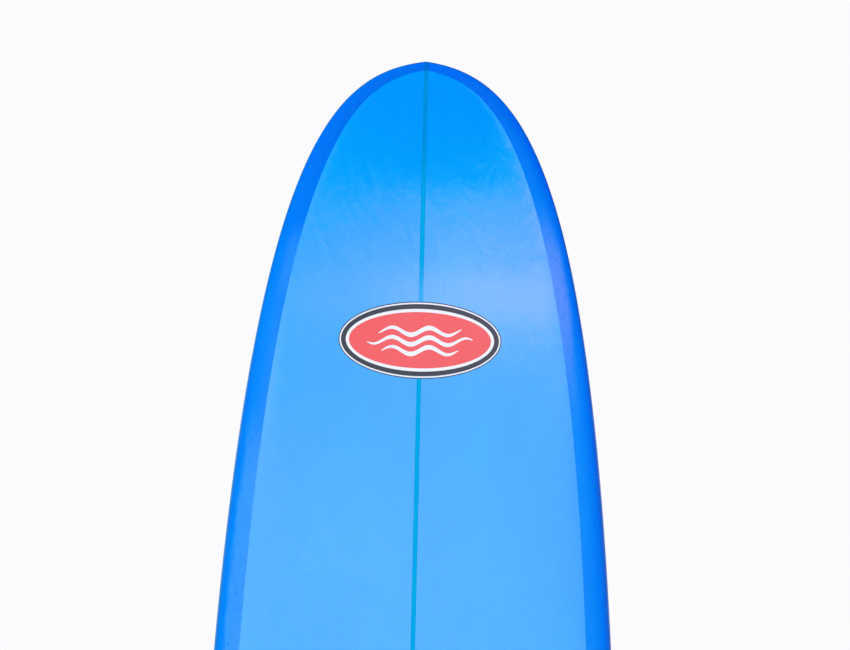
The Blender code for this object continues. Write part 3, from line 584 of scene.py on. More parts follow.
def band_zones(tree, colour):
    """Shades of the lap, with painted shade and painted reflections; its share runs from 0 at the rail
    to 1 at the lap's edge on the deck.
    """
    x, _, z = tree.split(tree.place)
    share = tree.node("Attribute", attribute_name="lap_share").outputs["Fac"]
    # The share made ragged with noise; it edges the painted shade and painted reflections below
    wobble = tree.noise(scale=(70.0, 70.0, 16.0), detail=3.0, rough=0.6)
    wobble = tree.multiply(tree.math("SUBTRACT", wobble, 0.5), 0.35)
    worn = tree.math("ADD", share, wobble)
    # Deepest at the tip, and painted shade along the outer rim
    tip = tree.span(z, over=(LENGTH - 0.32, LENGTH - 0.04), to=(0.0, 0.9))
    colour = tree.mix(tip, colour, to=(0.0, 0.128, 0.74))
    outer = tree.span(worn, over=(0.02, 0.30), to=(0.55, 0.0))
    colour = tree.mix(outer, colour, to=(0.0, 0.128, 0.80))
    left = tree.span(x, over=(-0.05, 0.05), to=(1.0, 0.0))
    right = tree.span(x, over=(-0.05, 0.05))
    # Painted reflections: a paler streak down the left, and a shorter one beside the badge's top
    down = tree.span(z, over=(2.18, 2.31), to=(1.0, 0.0))
    down = tree.multiply(down, tree.span(z, over=(1.45, 1.95)))
    painted_stripe_reflection = tree.multiply(left, down, tree.span(worn, over=(0.26, 0.50)))
    colour = tree.mix(tree.multiply(painted_stripe_reflection, 0.85), colour, to=(0.038, 0.290, 0.96))
    painted_reflection_by_badge = tree.between(z, rise=(2.42, 2.47), fall=(2.50, 2.55))
    painted_reflection_by_badge = tree.multiply(left, painted_reflection_by_badge, tree.span(worn, over=(0.35, 0.75)))
    colour = tree.mix(tree.multiply(painted_reflection_by_badge, 0.7), colour, to=(0.018, 0.250, 0.95))
    lighter = tree.between(z, rise=(2.22, 2.30), fall=(2.40, 2.46))
    lighter = tree.multiply(left, lighter, tree.span(share, over=(0.30, 0.55)))
    colour = tree.times(colour, by=(0.7, 1.12, 1.0), share=lighter)
    # The right lap is a little bluer, and below the tip it is greener towards its inner edge and less
    # green at the rail.
    colour = tree.times(colour, by=(1.0, 1.0, 1.11), share=right)
    below = tree.multiply(right, tree.span(z, over=(2.665, 2.715), to=(1.0, 0.0)))
    colour = tree.times(colour, by=(1.0, 0.86, 1.0), share=below)
    inner = tree.multiply(below, tree.span(share, over=(0.12, 0.75)))
    colour = tree.times(colour, by=(1.0, 1.42, 1.0), share=inner)
    # Painted reflection: a pale lavender patch on the right shoulder
    painted_reflection_right = tree.between(z, rise=(2.26, 2.46), fall=(2.47, 2.585))
    inward = tree.math("SUBTRACT", worn, tree.span(z, over=(2.33, 2.45), to=(0.22, 0.0)))
    painted_reflection_right = tree.multiply(right, painted_reflection_right, tree.span(inward, over=(0.24, 0.60)))
    colour = tree.mix(tree.multiply(painted_reflection_right, 0.85), colour, to=(0.112, 0.275, 0.94))
    # Painted shade: darker where the surface turns away from the view, more so on the right
    facing = tree.node("LayerWeight", {"Blend": 0.5}).outputs["Facing"]
    painted_rim_shade = tree.span(facing, over=(0.23, 0.61), smooth=False)
    rim_shade_colour = tree.mix(right, (1.0, 0.85, 0.46), to=(1.0, 0.52, 0.50))
    colour = tree.times(colour, by=rim_shade_colour, share=painted_rim_shade)
    # The end of the stringer shows through the lap at the tip.
    strip = tree.span(tree.math("ABSOLUTE", x), over=(0.0022, 0.0058), to=(1.0, 0.0))
    strip = tree.multiply(strip, tree.span(z, over=(LENGTH - 0.2, LENGTH - 0.1)))
    return tree.mix(tree.multiply(strip, 0.75), colour, to=(0.0, 0.132, 0.52))


DECK_TINT = tinted_glass(
    "deck_tint",
    tint=(0.0, 0.333, 0.955),
    deep=(0.0, 0.308, 0.915),
    pale=(0.002, 0.354, 0.98),
    gloss=deck_gloss,
    zones=deck_zones,
)
BAND_TINT = tinted_glass(
    "lap_tint",
    tint=(0.0, 0.212, 0.86),
    deep=(0.0, 0.188, 0.82),
    pale=(0.0, 0.238, 0.90),
    shift=3.1,
    gloss=band_gloss,
    zones=band_zones,
)
BOTTOM_TINT = tinted_glass(
    "bottom_tint",
    tint=(0.0, 0.200, 0.90),
    deep=(0.0, 0.175, 0.86),
    pale=(0.0, 0.230, 0.93),
    shift=7.7,
)
DECK_LINE = stringer_glass(
    "stringer_under_tint",
    middle=(0.001, 0.400, 0.75),
    edge=(0.0, 0.298, 0.69),
    nose=(0.001, 0.252, 0.67),
)
BOTTOM_LINE = stringer_glass(
    "stringer_under_bottom_tint",
    middle=(0.0, 0.250, 0.62),
    edge=(0.0, 0.17, 0.55),
    nose=(0.0, 0.17, 0.55),
    shift=2.0,
)
INK_DARK = print_ink("badge_charcoal", ink=(0.030, 0.034, 0.056), thin=(0.060, 0.066, 0.092))
INK_WHITE = print_ink("badge_white", ink=(0.80, 0.84, 0.92), thin=(0.66, 0.74, 0.88))
INK_CORAL = print_ink("badge_coral", ink=(0.82, 0.098, 0.108), thin=(0.74, 0.13, 0.15))
PLASTIC = moulded_plastic("moulded_black")
FIN_GLASS = fin_laminate("fin_cloth")
STEEL = brushed_steel("stainless")
FOAM = foam_finish("blown_foam")
WOOD = basswood("basswood")


# --------------------------------------------------------------------------
# Shells of the skin
# --------------------------------------------------------------------------
def add_object(name, mesh):
    made = bpy.data.objects.new(name, mesh)
    bpy.context.scene.collection.objects.link(made)
    return made


def skin_piece(name, verts, faces, normals, material):
    """A smooth mesh on the board, with a normal given for each corner of each face."""
    mesh = bpy.data.meshes.new(name)
    mesh.from_pydata([tuple(v) for v in verts], [], faces)
    mesh.update()
    mesh.polygons.foreach_set("use_smooth", [True] * len(mesh.polygons))
    mesh.normals_split_custom_set([tuple(n) for n in normals])
    mesh.materials.append(material)
    made = add_object(name, mesh)
    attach(made, "board")
    return made


def double_area(plan, triangles):
    """Twice the signed area of each triangle."""
    first, second, third = (plan[triangles[:, k]] for k in range(3))
    to_second, to_third = second - first, third - first
    return to_second[:, 0] * to_third[:, 1] - to_second[:, 1] * to_third[:, 0]


def shell(name, sheet, chosen, material):
    """A closed piece of a sheet: the board's surface, and the same surface moved in by the skin."""
    deck, plan, triangles = sheet
    triangles = triangles[chosen]
    used = np.unique(triangles)
    index = np.full(len(plan), -1)
    index[used] = np.arange(len(used))
    triangles = index[triangles]
    x, z = plan[used].T
    outer = np.column_stack((x, surface_y(x, z, deck), z))
    inner = np.column_stack((x, surface_y(x, z, deck, SKIN[deck]), z))
    normal = surface_normal(x, z, deck)
    upright = double_area(plan[used], triangles) > 0
    triangles = np.where(upright[:, None], triangles, triangles[:, ::-1])
    if not deck:
        triangles = triangles[:, ::-1]
    turned = triangles[:, ::-1]
    count = len(used)
    faces = [tuple(t) for t in triangles.tolist()] + [tuple(t) for t in (turned + count).tolist()]
    normals = list(normal[triangles].reshape(-1, 3)) + list(-normal[turned].reshape(-1, 3))
    border = {}
    for corners in triangles.tolist():
        for i, j in zip(corners, corners[1:] + corners[:1]):
            if (j, i) in border:
                del border[(j, i)]
            else:
                border[(i, j)] = True
    for i, j in border:
        faces.append((j, i, i + count, j + count))
        wall = np.cross(outer[j] - outer[i], normal[i])
        normals += [wall / max(np.linalg.norm(wall), 1e-12)] * 4
    return skin_piece(name, np.vstack((outer, inner)), faces, normals, material)


def rail_band(name, inset, material, steps=12):
    """The band round the whole rail, from the lap's edge on the deck to that on the bottom."""
    rows = [(True, k / steps) for k in range(steps, -1, -1)]
    rows += [(False, k / steps) for k in range(1, steps + 1)]
    outer, inner, normal = [], [], []
    for deck, share in rows:
        lap = LAPS * LAP_SHARE[deck]
        x, z = loop_inset(lap * share * share).T
        inner_x, inner_z = loop_inset(inset + (lap - inset) * share * share).T
        if share == 0.0:
            y = apex(z)
            inner_y = apex(inner_z)
            normal.append(np.column_stack((LOOP[:, 2], np.zeros(len(LOOP)), LOOP[:, 3])))
        else:
            y = surface_y(x, z, deck)
            inner_y = surface_y(inner_x, inner_z, deck, inset)
            normal.append(surface_normal(x, z, deck))
        outer.append(np.column_stack((x, y, z)))
        inner.append(np.column_stack((inner_x, inner_y, inner_z)))
    count, last = len(LOOP), len(rows) - 1
    base = len(rows) * count            # number of the first inner point
    normal = np.vstack(normal)
    steps_round = [(k, (k + 1) % count) for k in range(count)]
    faces, normals = [], []
    for row in range(0, last * count, count):
        for k, after in steps_round:
            face = (row + k, row + after, row + count + after, row + count + k)
            faces.append(face)
            normals += [normal[v] for v in face]
    for row in range(0, last * count, count):
        for k, after in steps_round:
            face = (row + k, row + count + k, row + count + after, row + after)
            faces.append(tuple(v + base for v in face))
            normals += [-normal[v] for v in face]
    for row, way in ((0, 1), (last * count, -1)):
        for k, after in steps_round:
            face = (row + after, row + k, row + k + base, row + after + base)
            faces.append(face[::way])
            normals += [np.array([-LOOP[k, 2], 0.0, -LOOP[k, 3]])] * 4
    made = skin_piece(name, np.vstack(outer + inner), faces, normals, material)
    shares = [share * share if deck else 0.0 for deck, share in rows]
    values = np.repeat(np.array(shares + shares, np.float32), count)
    made.data.attributes.new("lap_share", "FLOAT", "POINT").data.foreach_set("value", values)
    return made


# --------------------------------------------------------------------------
# Triangulation of a face
# --------------------------------------------------------------------------
CELL, CLEARANCE = 0.006, 0.0035     # search grid, and least distance between filling points
EDGE_CLEARANCE = 0.003


def in_polygon(points, polygon):
    x, y = points[:, 0], points[:, 1]
    inside = np.zeros(len(points), bool)
    corner_x, corner_y = polygon[:, 0], polygon[:, 1]
    for i in range(len(polygon)):
        j = i - 1
        cross = (corner_y[i] > y) != (corner_y[j] > y)
        if cross.any():
            rise = (corner_y[j] - corner_y[i]) or 1e-12
            at = (corner_x[j] - corner_x[i]) * (y - corner_y[i]) / rise + corner_x[i]
            inside ^= cross & (x < at)
    return inside


def filling_points(deck, fine):
    """Rows of points inside a lap's edge, closest near the nose, and the fine patches."""
    edge = LAP_EDGE[deck]
    top, low = edge[:, 1].max(), edge[:, 1].min()
    points = []
    z, step = top - 0.004, 0.005
    while z > low + 0.006:
        wide = float(lap_half(z, deck))
        count = max(2, int(round(wide / 0.013)))
        for k in range(1, count):
            x = wide * k / count
            points += [(x, z), (-x, z)]
        z -= step
        step = min(step * 1.12, 0.018)
    for low_z, high_z, half in fine:
        for z in np.arange(low_z, high_z, 0.007):
            for x in np.arange(-half, half + 1e-6, 0.008):
                points.append((x, z))
    points = np.array(points)
    return points[np.abs(points[:, 0]) < lap_half(points[:, 1], deck) - EDGE_CLEARANCE]


def triangulate(deck, loops, lines, fine=()):
    """The sheet inside a lap's edge, with the loops and lines as edges, and its face middles."""
    edge = LAP_EDGE[deck]
    points, links = [], []
    for paths, closed in (([edge] + loops, True), (lines, False)):
        for path in paths:
            start, count = len(points), len(path)
            points.extend(map(tuple, path))
            for k in range(count if closed else count - 1):
                links.append((start + k, start + (k + 1) % count))
    fixed = np.array(points)
    grid = {}
    for point in fixed:
        grid.setdefault((int(point[0] // CELL), int(point[1] // CELL)), []).append(point)
    kept = []
    around = (-1, 0, 1)
    for point in filling_points(deck, fine):
        column, row = int(point[0] // CELL), int(point[1] // CELL)
        near = [q for i in around for j in around for q in grid.get((column + i, row + j), ())]
        if all(
            (point[0] - q[0]) ** 2 + (point[1] - q[1]) ** 2 >= CLEARANCE**2 for q in near
        ):
            kept.append(point)
            grid.setdefault((column, row), []).append(point)
    every = [Vector(p) for p in points] + [Vector(p) for p in kept]
    found, _, faces, origin, _, _ = delaunay_2d_cdt(every, links, [], 0, 1e-6)
    plan = np.array([tuple(v) for v in found], float)
    # Points that were given keep their exact places.
    exact = np.vstack((fixed, np.array(kept)))
    for k, source in enumerate(origin):
        if source:
            plan[k] = exact[source[0]]
    triangles = np.array([f for f in faces if len(f) == 3])
    middle = plan[triangles].mean(axis=1)
    keep = in_polygon(middle, edge) & (np.abs(double_area(plan, triangles)) > 1e-10)
    return (deck, plan, triangles[keep]), middle[keep]


# --------------------------------------------------------------------------
# Frames of the fittings: X across, Y along the board to the nose, Z out of the board
# --------------------------------------------------------------------------
# Places on each outline curve where the frame has its stations
COARSE_SHARES = (
    (0.0, 0.03, 0.07, 0.12, 0.18, 0.25, 0.33, 0.42, 0.52, 0.63, 0.75, 0.88, 1.0),
    (0.5, 1.0),
    (0.15, 0.30, 0.45, 0.60, 0.72, 0.82, 0.91, 1.0),
    (0.35, 0.65, 0.85, 1.0),
)
COARSE = np.vstack([bezier(curve, t)[0] for curve, t in zip(OUTLINE, COARSE_SHARES)])


def coarse_y(x, z, deck):
    """Surface between the frame's own stations, so that the fittings' places agree with it."""
    half = float(np.interp(z, (LENGTH - COARSE[:, 1])[::-1], COARSE[::-1, 0]))
    return float(section_y(min(1.0, abs(x) / half), z, deck))


def frame_at(origin, along, out):
    out = Vector(out).normalized()
    along = Vector(along)
    along = (along - out * along.dot(out)).normalized()
    place = Matrix((along.cross(out), along, out)).transposed().to_4x4()
    place.translation = origin
    return place


def surface_frame(x, z, deck, toe=0.0):
    step = 0.004

    def at(x, z):
        return Vector((x, coarse_y(x, z, deck), z))

    across = at(x + step, z) - at(x - step, z)
    up = at(x, z + step) - at(x, z - step)
    out = across.cross(up).normalized()
    if (out.y > 0) == deck:
        out = -out
    along = Matrix.Rotation(toe, 3, out) @ up.normalized()
    return frame_at(at(x, z), along, out)


def moved(along, out=0.0):
    return Matrix.Translation((0.0, along, out))


box_low, box_high = BOX_AT - BOX_REACH, BOX_AT + BOX_REACH
box_along = Vector((0.0, float(rocker(box_high) - rocker(box_low)), box_high - box_low))
box_along = box_along.normalized()
box_out = Vector((0.0, box_along.z, -box_along.y))
box_origin = Vector((0.0, float(rocker(BOX_AT)), BOX_AT)) - box_out * BOX_SINK
BOX_FRAME = frame_at(box_origin, box_along, box_out)
FIN_FRAME = BOX_FRAME @ moved(FIN_SHIFT)
LEASH_FRAME = surface_frame(0.0, LEASH_AT, True)
SIDE_FRAMES = {
    "right": surface_frame(SIDE_AT[0], SIDE_AT[1], False, toe=-SIDE_TOE),
    "left": surface_frame(-SIDE_AT[0], SIDE_AT[1], False, toe=SIDE_TOE),
}


def round_path(radius, count):
    turns = [2 * math.pi * k / count for k in range(count)]
    return [(radius * math.cos(turn), radius * math.sin(turn)) for turn in turns]


def rounded_rectangle(half_x, low_y, high_y, corner, steps=4):
    path = []
    for x, y, start in (
        (half_x - corner, high_y - corner, 0.0),
        (-half_x + corner, high_y - corner, 90.0),
        (-half_x + corner, low_y + corner, 180.0),
        (half_x - corner, low_y + corner, 270.0),
    ):
        for k in range(steps + 1):
            turn = math.radians(start + 90.0 * k / steps)
            path.append((x + corner * math.cos(turn), y + corner * math.sin(turn)))
    return path


def in_plan(place, path):
    """A path of a fitting's frame, as seen in the board's x and z."""
    spots = [place @ Vector((x, y, 0.0)) for x, y in path]
    return np.array([[spot[0], spot[2]] for spot in spots])


# --------------------------------------------------------------------------
# The deck: field, stringer line and badge
# --------------------------------------------------------------------------
def badge_half(ring):
    return BADGE_HALF[0] - ring, BADGE_HALF[1] - ring


def badge_oval(ring, count=200):
    turn = np.linspace(0, 2 * math.pi, count, endpoint=False)
    half_x, half_z = badge_half(ring)
    return np.column_stack((half_x * np.cos(turn), BADGE_Z + half_z * np.sin(turn)))


def swell_path(centre, reach, count=72):
    """A tapering wave line, as a closed path."""
    x = np.linspace(-reach, reach, count)
    fade = np.cos(np.clip(np.abs(x) / reach, 0, 1) * math.pi / 2) ** 0.6
    mid = BADGE_Z + centre + SWELL_HEIGHT * np.sin(2 * math.pi * x / SWELL_LENGTH)
    half = SWELL_FAT / 2 * fade + 0.00035
    return np.vstack((np.column_stack((x, mid + half)), np.column_stack((x, mid - half))[::-1]))


def line_ends(deck):
    """Heights where the stringer line meets the lap's edge, at the nose and at the tail."""
    edge = LAP_EDGE[deck]
    meeting = int(np.argmin(np.abs(edge[:40, 0] - LINE_HALF)))
    return edge[meeting, 1], edge[HALF_COUNT - 2, 1]


def line_borders(stretches, step=0.014):
    """Both edges of the stringer line along each stretch of heights."""
    lines = []
    for x in (LINE_HALF, -LINE_HALF):
        for top, low in stretches:
            count = max(2, int(abs(low - top) / step) + 1)
            lines.append(np.column_stack((np.full(count, x), np.linspace(top, low, count))))
    return lines


line_top, line_low = line_ends(True)
leash_hole = in_plan(LEASH_FRAME, round_path(HOLE_RADIUS, HOLE_STEPS))
swells = [swell_path(centre, reach) for centre, reach in SWELLS]
deck_sheet, middle = triangulate(
    True,
    [badge_oval(ring) for ring in BADGE_RINGS] + swells + [leash_hole],
    line_borders(
        (
            (line_top, BADGE_Z + BADGE_HALF[1] - LINE_IN_BADGE),
            (BADGE_Z - BADGE_HALF[1] + LINE_IN_BADGE, LEASH_AT + LINE_TO_LEASH),
            (LEASH_AT - LINE_TO_LEASH, line_low),
        )
    ),
    fine=((BADGE_Z - FINE_HALF[1], BADGE_Z + FINE_HALF[1], FINE_HALF[0]),),
)
x, z = middle.T
level = np.zeros(len(middle), int)      # how many of the badge's ovals a triangle lies in
for ring in BADGE_RINGS:
    half_x, half_z = badge_half(ring)
    level += ((x / half_x) ** 2 + ((z - BADGE_Z) / half_z) ** 2 < 1.0).astype(int)
outside = (level == 0) & ~in_polygon(middle, leash_hole)
on_line = np.abs(x) < LINE_HALF

for name, chosen in (("deck_glass_left", x < 0), ("deck_glass_right", x > 0)):
    made = shell(name, deck_sheet, outside & ~on_line & chosen, DECK_TINT)
    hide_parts("deck_laminate")
for name, chosen in (
    ("stringer_line_nose", z > BADGE_Z),
    ("stringer_line_deck", (z < BADGE_Z) & (z > LEASH_AT)),
    ("stringer_line_tail", z < LEASH_AT),
):
    shell(name, deck_sheet, outside & on_line & chosen, DECK_LINE)

on_swell = np.zeros(len(middle), bool)
for number, path in enumerate(swells, start=1):
    inside = in_polygon(middle, path) & (level == len(BADGE_RINGS))
    on_swell |= inside
    shell("badge_wave_%d" % number, deck_sheet, inside, INK_WHITE)
for number, (name, ink) in enumerate(
    (
        ("badge_outline", INK_DARK),
        ("badge_white_line", INK_WHITE),
        ("badge_dark_band", INK_DARK),
        ("badge_white_band", INK_WHITE),
        ("badge_field", INK_CORAL),
    ),
    start=1,
):
    made = shell(name, deck_sheet, (level == number) & ~on_swell, ink)
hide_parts("deck_badge")     # the coral field stands in for the frame's badge

# --------------------------------------------------------------------------
# The rail band and the bottom
# --------------------------------------------------------------------------
band = rail_band("rail_lap_band", SKIN[False], BAND_TINT)
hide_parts("deck_laminate", "bottom_laminate")

box_path = rounded_rectangle(
    half_x=0.0163, low_y=-0.1383, high_y=0.1383, corner=0.0103, steps=8
)
holes = [in_plan(BOX_FRAME, box_path)]
for base in SIDE_FRAMES.values():
    for along in PLUG_OFFSETS:
        holes.append(in_plan(base @ moved(along), round_path(HOLE_RADIUS, HOLE_STEPS)))
line_top, line_low = line_ends(False)
bottom_sheet, middle = triangulate(
    False,
    holes,
    line_borders(((line_top, BOX_AT + LINE_TO_BOX), (BOX_AT - LINE_TO_BOX, line_low))),
)
x, z = middle.T
solid_skin = ~np.any([in_polygon(middle, hole) for hole in holes], axis=0)
on_line = np.abs(x) < LINE_HALF
for name, chosen in (("bottom_glass_left", x < 0), ("bottom_glass_right", x > 0)):
    chosen = chosen & solid_skin & ~on_line
    made = shell(name, bottom_sheet, chosen, BOTTOM_TINT)
    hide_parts("bottom_laminate")
for name, chosen in (
    ("stringer_line_bottom", z > BOX_AT),
    ("stringer_line_bottom_tail", z < BOX_AT),
):
    shell(name, bottom_sheet, chosen & solid_skin & on_line, BOTTOM_LINE)


# --------------------------------------------------------------------------
# Fins, with finer sections than the frame's
# --------------------------------------------------------------------------
# Handles of the edges: (along the board to the nose, out of the board)
FIN_LEAD = ((0.0745, 0.0), (0.0600, 0.0950), (0.0050, 0.1950), (-0.1050, 0.2240))
FIN_TRAIL = ((-0.0745, 0.0), (-0.0560, 0.0600), (-0.0600, 0.1450), (-0.1180, 0.2190))
SIDE_LEAD = ((0.0480, 0.0004), (0.0360, 0.0340), (0.0080, 0.0760), (-0.0420, 0.0880))
SIDE_TRAIL = ((-0.0480, 0.0004), (-0.0390, 0.0260), (-0.0380, 0.0560), (-0.0520, 0.0850))
BLADE_END = 0.950       # share of the edges where the rounded tip begins
TIP_REACH = 0.55        # reach of the rounded tip, in chords


def loft(rings):
    """Points and faces of a closed solid through the rings."""
    count = len(rings[0])
    verts = [point for ring in rings for point in ring]
    last = (len(rings) - 1) * count
    faces = []
    for start in range(0, last, count):
        for i in range(count):
            here, after = start + i, start + (i + 1) % count
            faces.append((here, after, after + count, here + count))
    faces.append(tuple(range(count))[::-1])
    faces.append(tuple(last + i for i in range(count)))
    return verts, faces


def prism(path, low, high):
    return loft([[(x, y, z) for x, y in path] for z in (low, high)])


def foil_half(share, thickness):
    """Half thickness of a four-digit wing section at a share of its chord, with a closed tail."""
    series = (
        0.2969 * math.sqrt(share)
        - 0.1260 * share
        - 0.3516 * share**2
        + 0.2843 * share**3
        - 0.1036 * share**4
    )
    return max(5 * thickness * series, 0.00012)


def fin_blade(lead, trail, thick_root, thick_tip, root, sections, chord_steps):
    """A blade between its edges; its first section is sunk by root."""
    shares = [0.5 - 0.5 * math.cos(math.pi * k / chord_steps) for k in range(chord_steps + 1)]
    places = [(0.0, root)]
    places += [(BLADE_END * (k / sections) ** 0.9, 0.0) for k in range(sections + 1)]
    rings = []
    for t, sink in places:
        lead_along, lead_out = bezier(lead, t)[0][0]
        trail_along, trail_out = bezier(trail, t)[0][0]
        lead_out, trail_out = lead_out - sink, trail_out - sink
        thickness = thick_tip + (thick_root - thick_tip) * (1.0 - t) ** 0.9
        right, left = [], []
        for share in shares:
            half = foil_half(share, thickness)
            along = lead_along + (trail_along - lead_along) * share
            out = lead_out + (trail_out - lead_out) * share
            right.append((half, along, out))
            left.append((-half, along, out))
        rings.append(right + left[::-1])
    # The tip is a half ellipse that carries both edges on in their own directions and rounds
    # them into each other.
    now = [Vector(bezier(edge, BLADE_END)[0][0]) for edge in (lead, trail)]
    before = [Vector(bezier(edge, BLADE_END - 0.02)[0][0]) for edge in (lead, trail)]
    mid, chord = (now[0] + now[1]) / 2, now[1] - now[0]
    step = mid - (before[0] + before[1]) / 2
    ahead, change = step.normalized(), (chord - (before[1] - before[0])) / step.length
    reach = TIP_REACH * chord.length
    last = rings[-1]
    for k in range(1, 10):
        turn = 0.5 * math.pi * k / 9.4
        close, far = math.cos(turn), reach * math.sin(turn)
        ring = []
        for x, y, z in last:
            along = (Vector((y, z)) - mid).dot(chord) / chord.length_squared
            spot = mid + ahead * far + (chord + change * far) * along * close
            ring.append((x * close**0.7, spot.x, spot.y))
        rings.append(ring)
    return loft(rings)


def solid(name, shape, place):
    verts, faces = shape
    mesh = bpy.data.meshes.new(name)
    mesh.from_pydata([tuple(place @ Vector(v)) for v in verts], [], faces)
    work = bmesh.new()
    work.from_mesh(mesh)
    bmesh.ops.recalc_face_normals(work, faces=work.faces)
    work.to_mesh(mesh)
    work.free()
    return add_object(name, mesh)


def build_fin(body, first, changes):
    """The first solid with others joined to it or cut from it, as one plain mesh."""
    for operation, other in changes:
        added = first.modifiers.new(operation.lower(), "BOOLEAN")
        added.operation = operation
        added.solver = "EXACT"
        added.object = other
    bpy.context.view_layer.update()
    evaluated = first.evaluated_get(bpy.context.evaluated_depsgraph_get())
    mesh = bpy.data.meshes.new_from_object(evaluated)
    for _, other in changes:
        bpy.data.objects.remove(other, do_unlink=True)
    bpy.data.objects.remove(first, do_unlink=True)
    work = bmesh.new()
    work.from_mesh(mesh)
    bmesh.ops.remove_doubles(work, verts=work.verts, dist=2e-6)
    bmesh.ops.dissolve_degenerate(work, edges=work.edges, dist=2e-6)
    work.to_mesh(mesh)
    work.free()
    mesh.name = body + "_glass"
    mesh.materials.clear()
    mesh.materials.append(FIN_GLASS)
    mesh.shade_smooth()
    mesh.set_sharp_from_angle(angle=math.radians(32.0))
    made = add_object(body + "_glass", mesh)
    made.modifiers.new("even_shading", "WEIGHTED_NORMAL").keep_sharp = True
    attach(made, body)
    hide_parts(body)


def centre_fin():
    """The blade on a long tab, with a holed foot in front and a pin hole near the tab's back."""
    tab = prism(
        rounded_rectangle(half_x=0.0049, low_y=-0.0760, high_y=0.0760, corner=0.003),
        low=-0.0220,
        high=-0.0003,
    )
    wing = fin_blade(
        FIN_LEAD,
        FIN_TRAIL,
        thick_root=0.0092,
        thick_tip=0.0034,
        root=0.006,
        sections=44,
        chord_steps=18,
    )
    foot = prism(
        rounded_rectangle(half_x=0.0047, low_y=0.0720, high_y=0.0980, corner=0.001),
        low=-0.0080,
        high=-0.0050,
    )
    foot_hole = prism(round_path(radius=0.0024, count=28), low=-0.012, high=0.0)
    pin_hole = prism(round_path(radius=0.0023, count=28), low=-0.010, high=0.010)
    foot_place = FIN_FRAME @ moved(along=0.0880)
    pin_place = FIN_FRAME @ moved(along=-0.0680, out=-0.0105)
    pin_place = pin_place @ Matrix.Rotation(math.pi / 2, 4, "Y")
    build_fin(
        "centre_fin",
        solid("fin_tab", tab, FIN_FRAME),
        [
            ("UNION", solid("fin_wing", wing, FIN_FRAME)),
            ("UNION", solid("fin_foot", foot, FIN_FRAME)),
            ("DIFFERENCE", solid("foot_hole", foot_hole, foot_place)),
            ("DIFFERENCE", solid("pin_hole", pin_hole, pin_place)),
        ],
    )


def side_fin(which):
    """A small blade on two tabs, one for each plug."""
    base = SIDE_FRAMES[which]
    blade = fin_blade(
        SIDE_LEAD,
        SIDE_TRAIL,
        thick_root=0.0066,
        thick_tip=0.0026,
        root=0.0,
        sections=32,
        chord_steps=16,
    )
    tab = prism(
        rounded_rectangle(half_x=0.0032, low_y=-0.0088, high_y=0.0088, corner=0.0015),
        low=-0.0128,
        high=0.0006,
    )
    build_fin(
        "side_fin_" + which,
        solid("blade", blade, base),
        [("UNION", solid("tab", tab, base @ moved(along))) for along in PLUG_OFFSETS],
    )


centre_fin()
side_fin("left")
side_fin("right")

# --------------------------------------------------------------------------
# Finishes of the pieces that come straight from the frame
# --------------------------------------------------------------------------
CORE = {"foam_core_left": FOAM, "foam_core_right": FOAM, "stringer": WOOD}
MOULDED = ("centre_fin_box", "leash_plug_cup")

for name, node in nodes.items():
    if node.hide_render:
        continue
    moulded = name in MOULDED or name.startswith("fin_plug")
    node.data.materials.clear()
    node.data.materials.append(CORE.get(name, PLASTIC if moulded else STEEL))
    for polygon in node.data.polygons:
        polygon.use_smooth = True
    weld = node.modifiers.new("weld", "WELD")
    weld.merge_threshold = 2e-6
    if name not in CORE:
        bevel = node.modifiers.new("soft_edges", "BEVEL")
        bevel.width = 0.00022
        bevel.segments = 2
        bevel.limit_method = "ANGLE"
        bevel.angle_limit = math.radians(40)
        bevel.use_clamp_overlap = True
    split = node.modifiers.new("crisp_edges", "EDGE_SPLIT")
    split.split_angle = math.radians(35)


# --------------------------------------------------------------------------
# Floor
# --------------------------------------------------------------------------
FLOOR_Z, FLOOR_RINGS, FLOOR_STEPS = -0.0004, (1.0, 3.0, 6.0, 11.0), 64


def floor_finish():
    """Pale matt floor that fades out with the distance."""
    tree = NodeTree("pale_floor")
    x, y, _ = tree.split(tree.place)
    far = tree.math("SQRT", tree.math("ADD", tree.multiply(x, x), tree.multiply(y, y)))
    speckle = tree.noise(scale=(30.0, 30.0, 30.0), detail=3.0)
    colour = tree.mix(speckle, (0.80, 0.80, 0.83), to=(0.83, 0.83, 0.86))
    matt = tree.node("BsdfDiffuse", {"Color": colour}).outputs[0]
    clear = tree.node("BsdfTransparent").outputs[0]
    return tree.finish(tree.mix_shader(tree.span(far, over=(1.2, 6.0)), matt, clear))


def studio_floor():
    verts = [(0.0, 0.0, FLOOR_Z)]
    for radius in FLOOR_RINGS:
        verts += [(x, y, FLOOR_Z) for x, y in round_path(radius, FLOOR_STEPS)]
    steps_round = [(k, (k + 1) % FLOOR_STEPS) for k in range(FLOOR_STEPS)]
    faces = [(0, 1 + k, 1 + after) for k, after in steps_round]
    for ring in range(len(FLOOR_RINGS) - 1):
        start = 1 + ring * FLOOR_STEPS
        for k, after in steps_round:
            here, beside = start + k, start + after
            faces.append((here, here + FLOOR_STEPS, beside + FLOOR_STEPS, beside))
    mesh = bpy.data.meshes.new("studio_floor")
    mesh.from_pydata(verts, [], faces)
    made = add_object("studio_floor", mesh)
    mesh.materials.append(floor_finish())
    made.visible_glossy = False


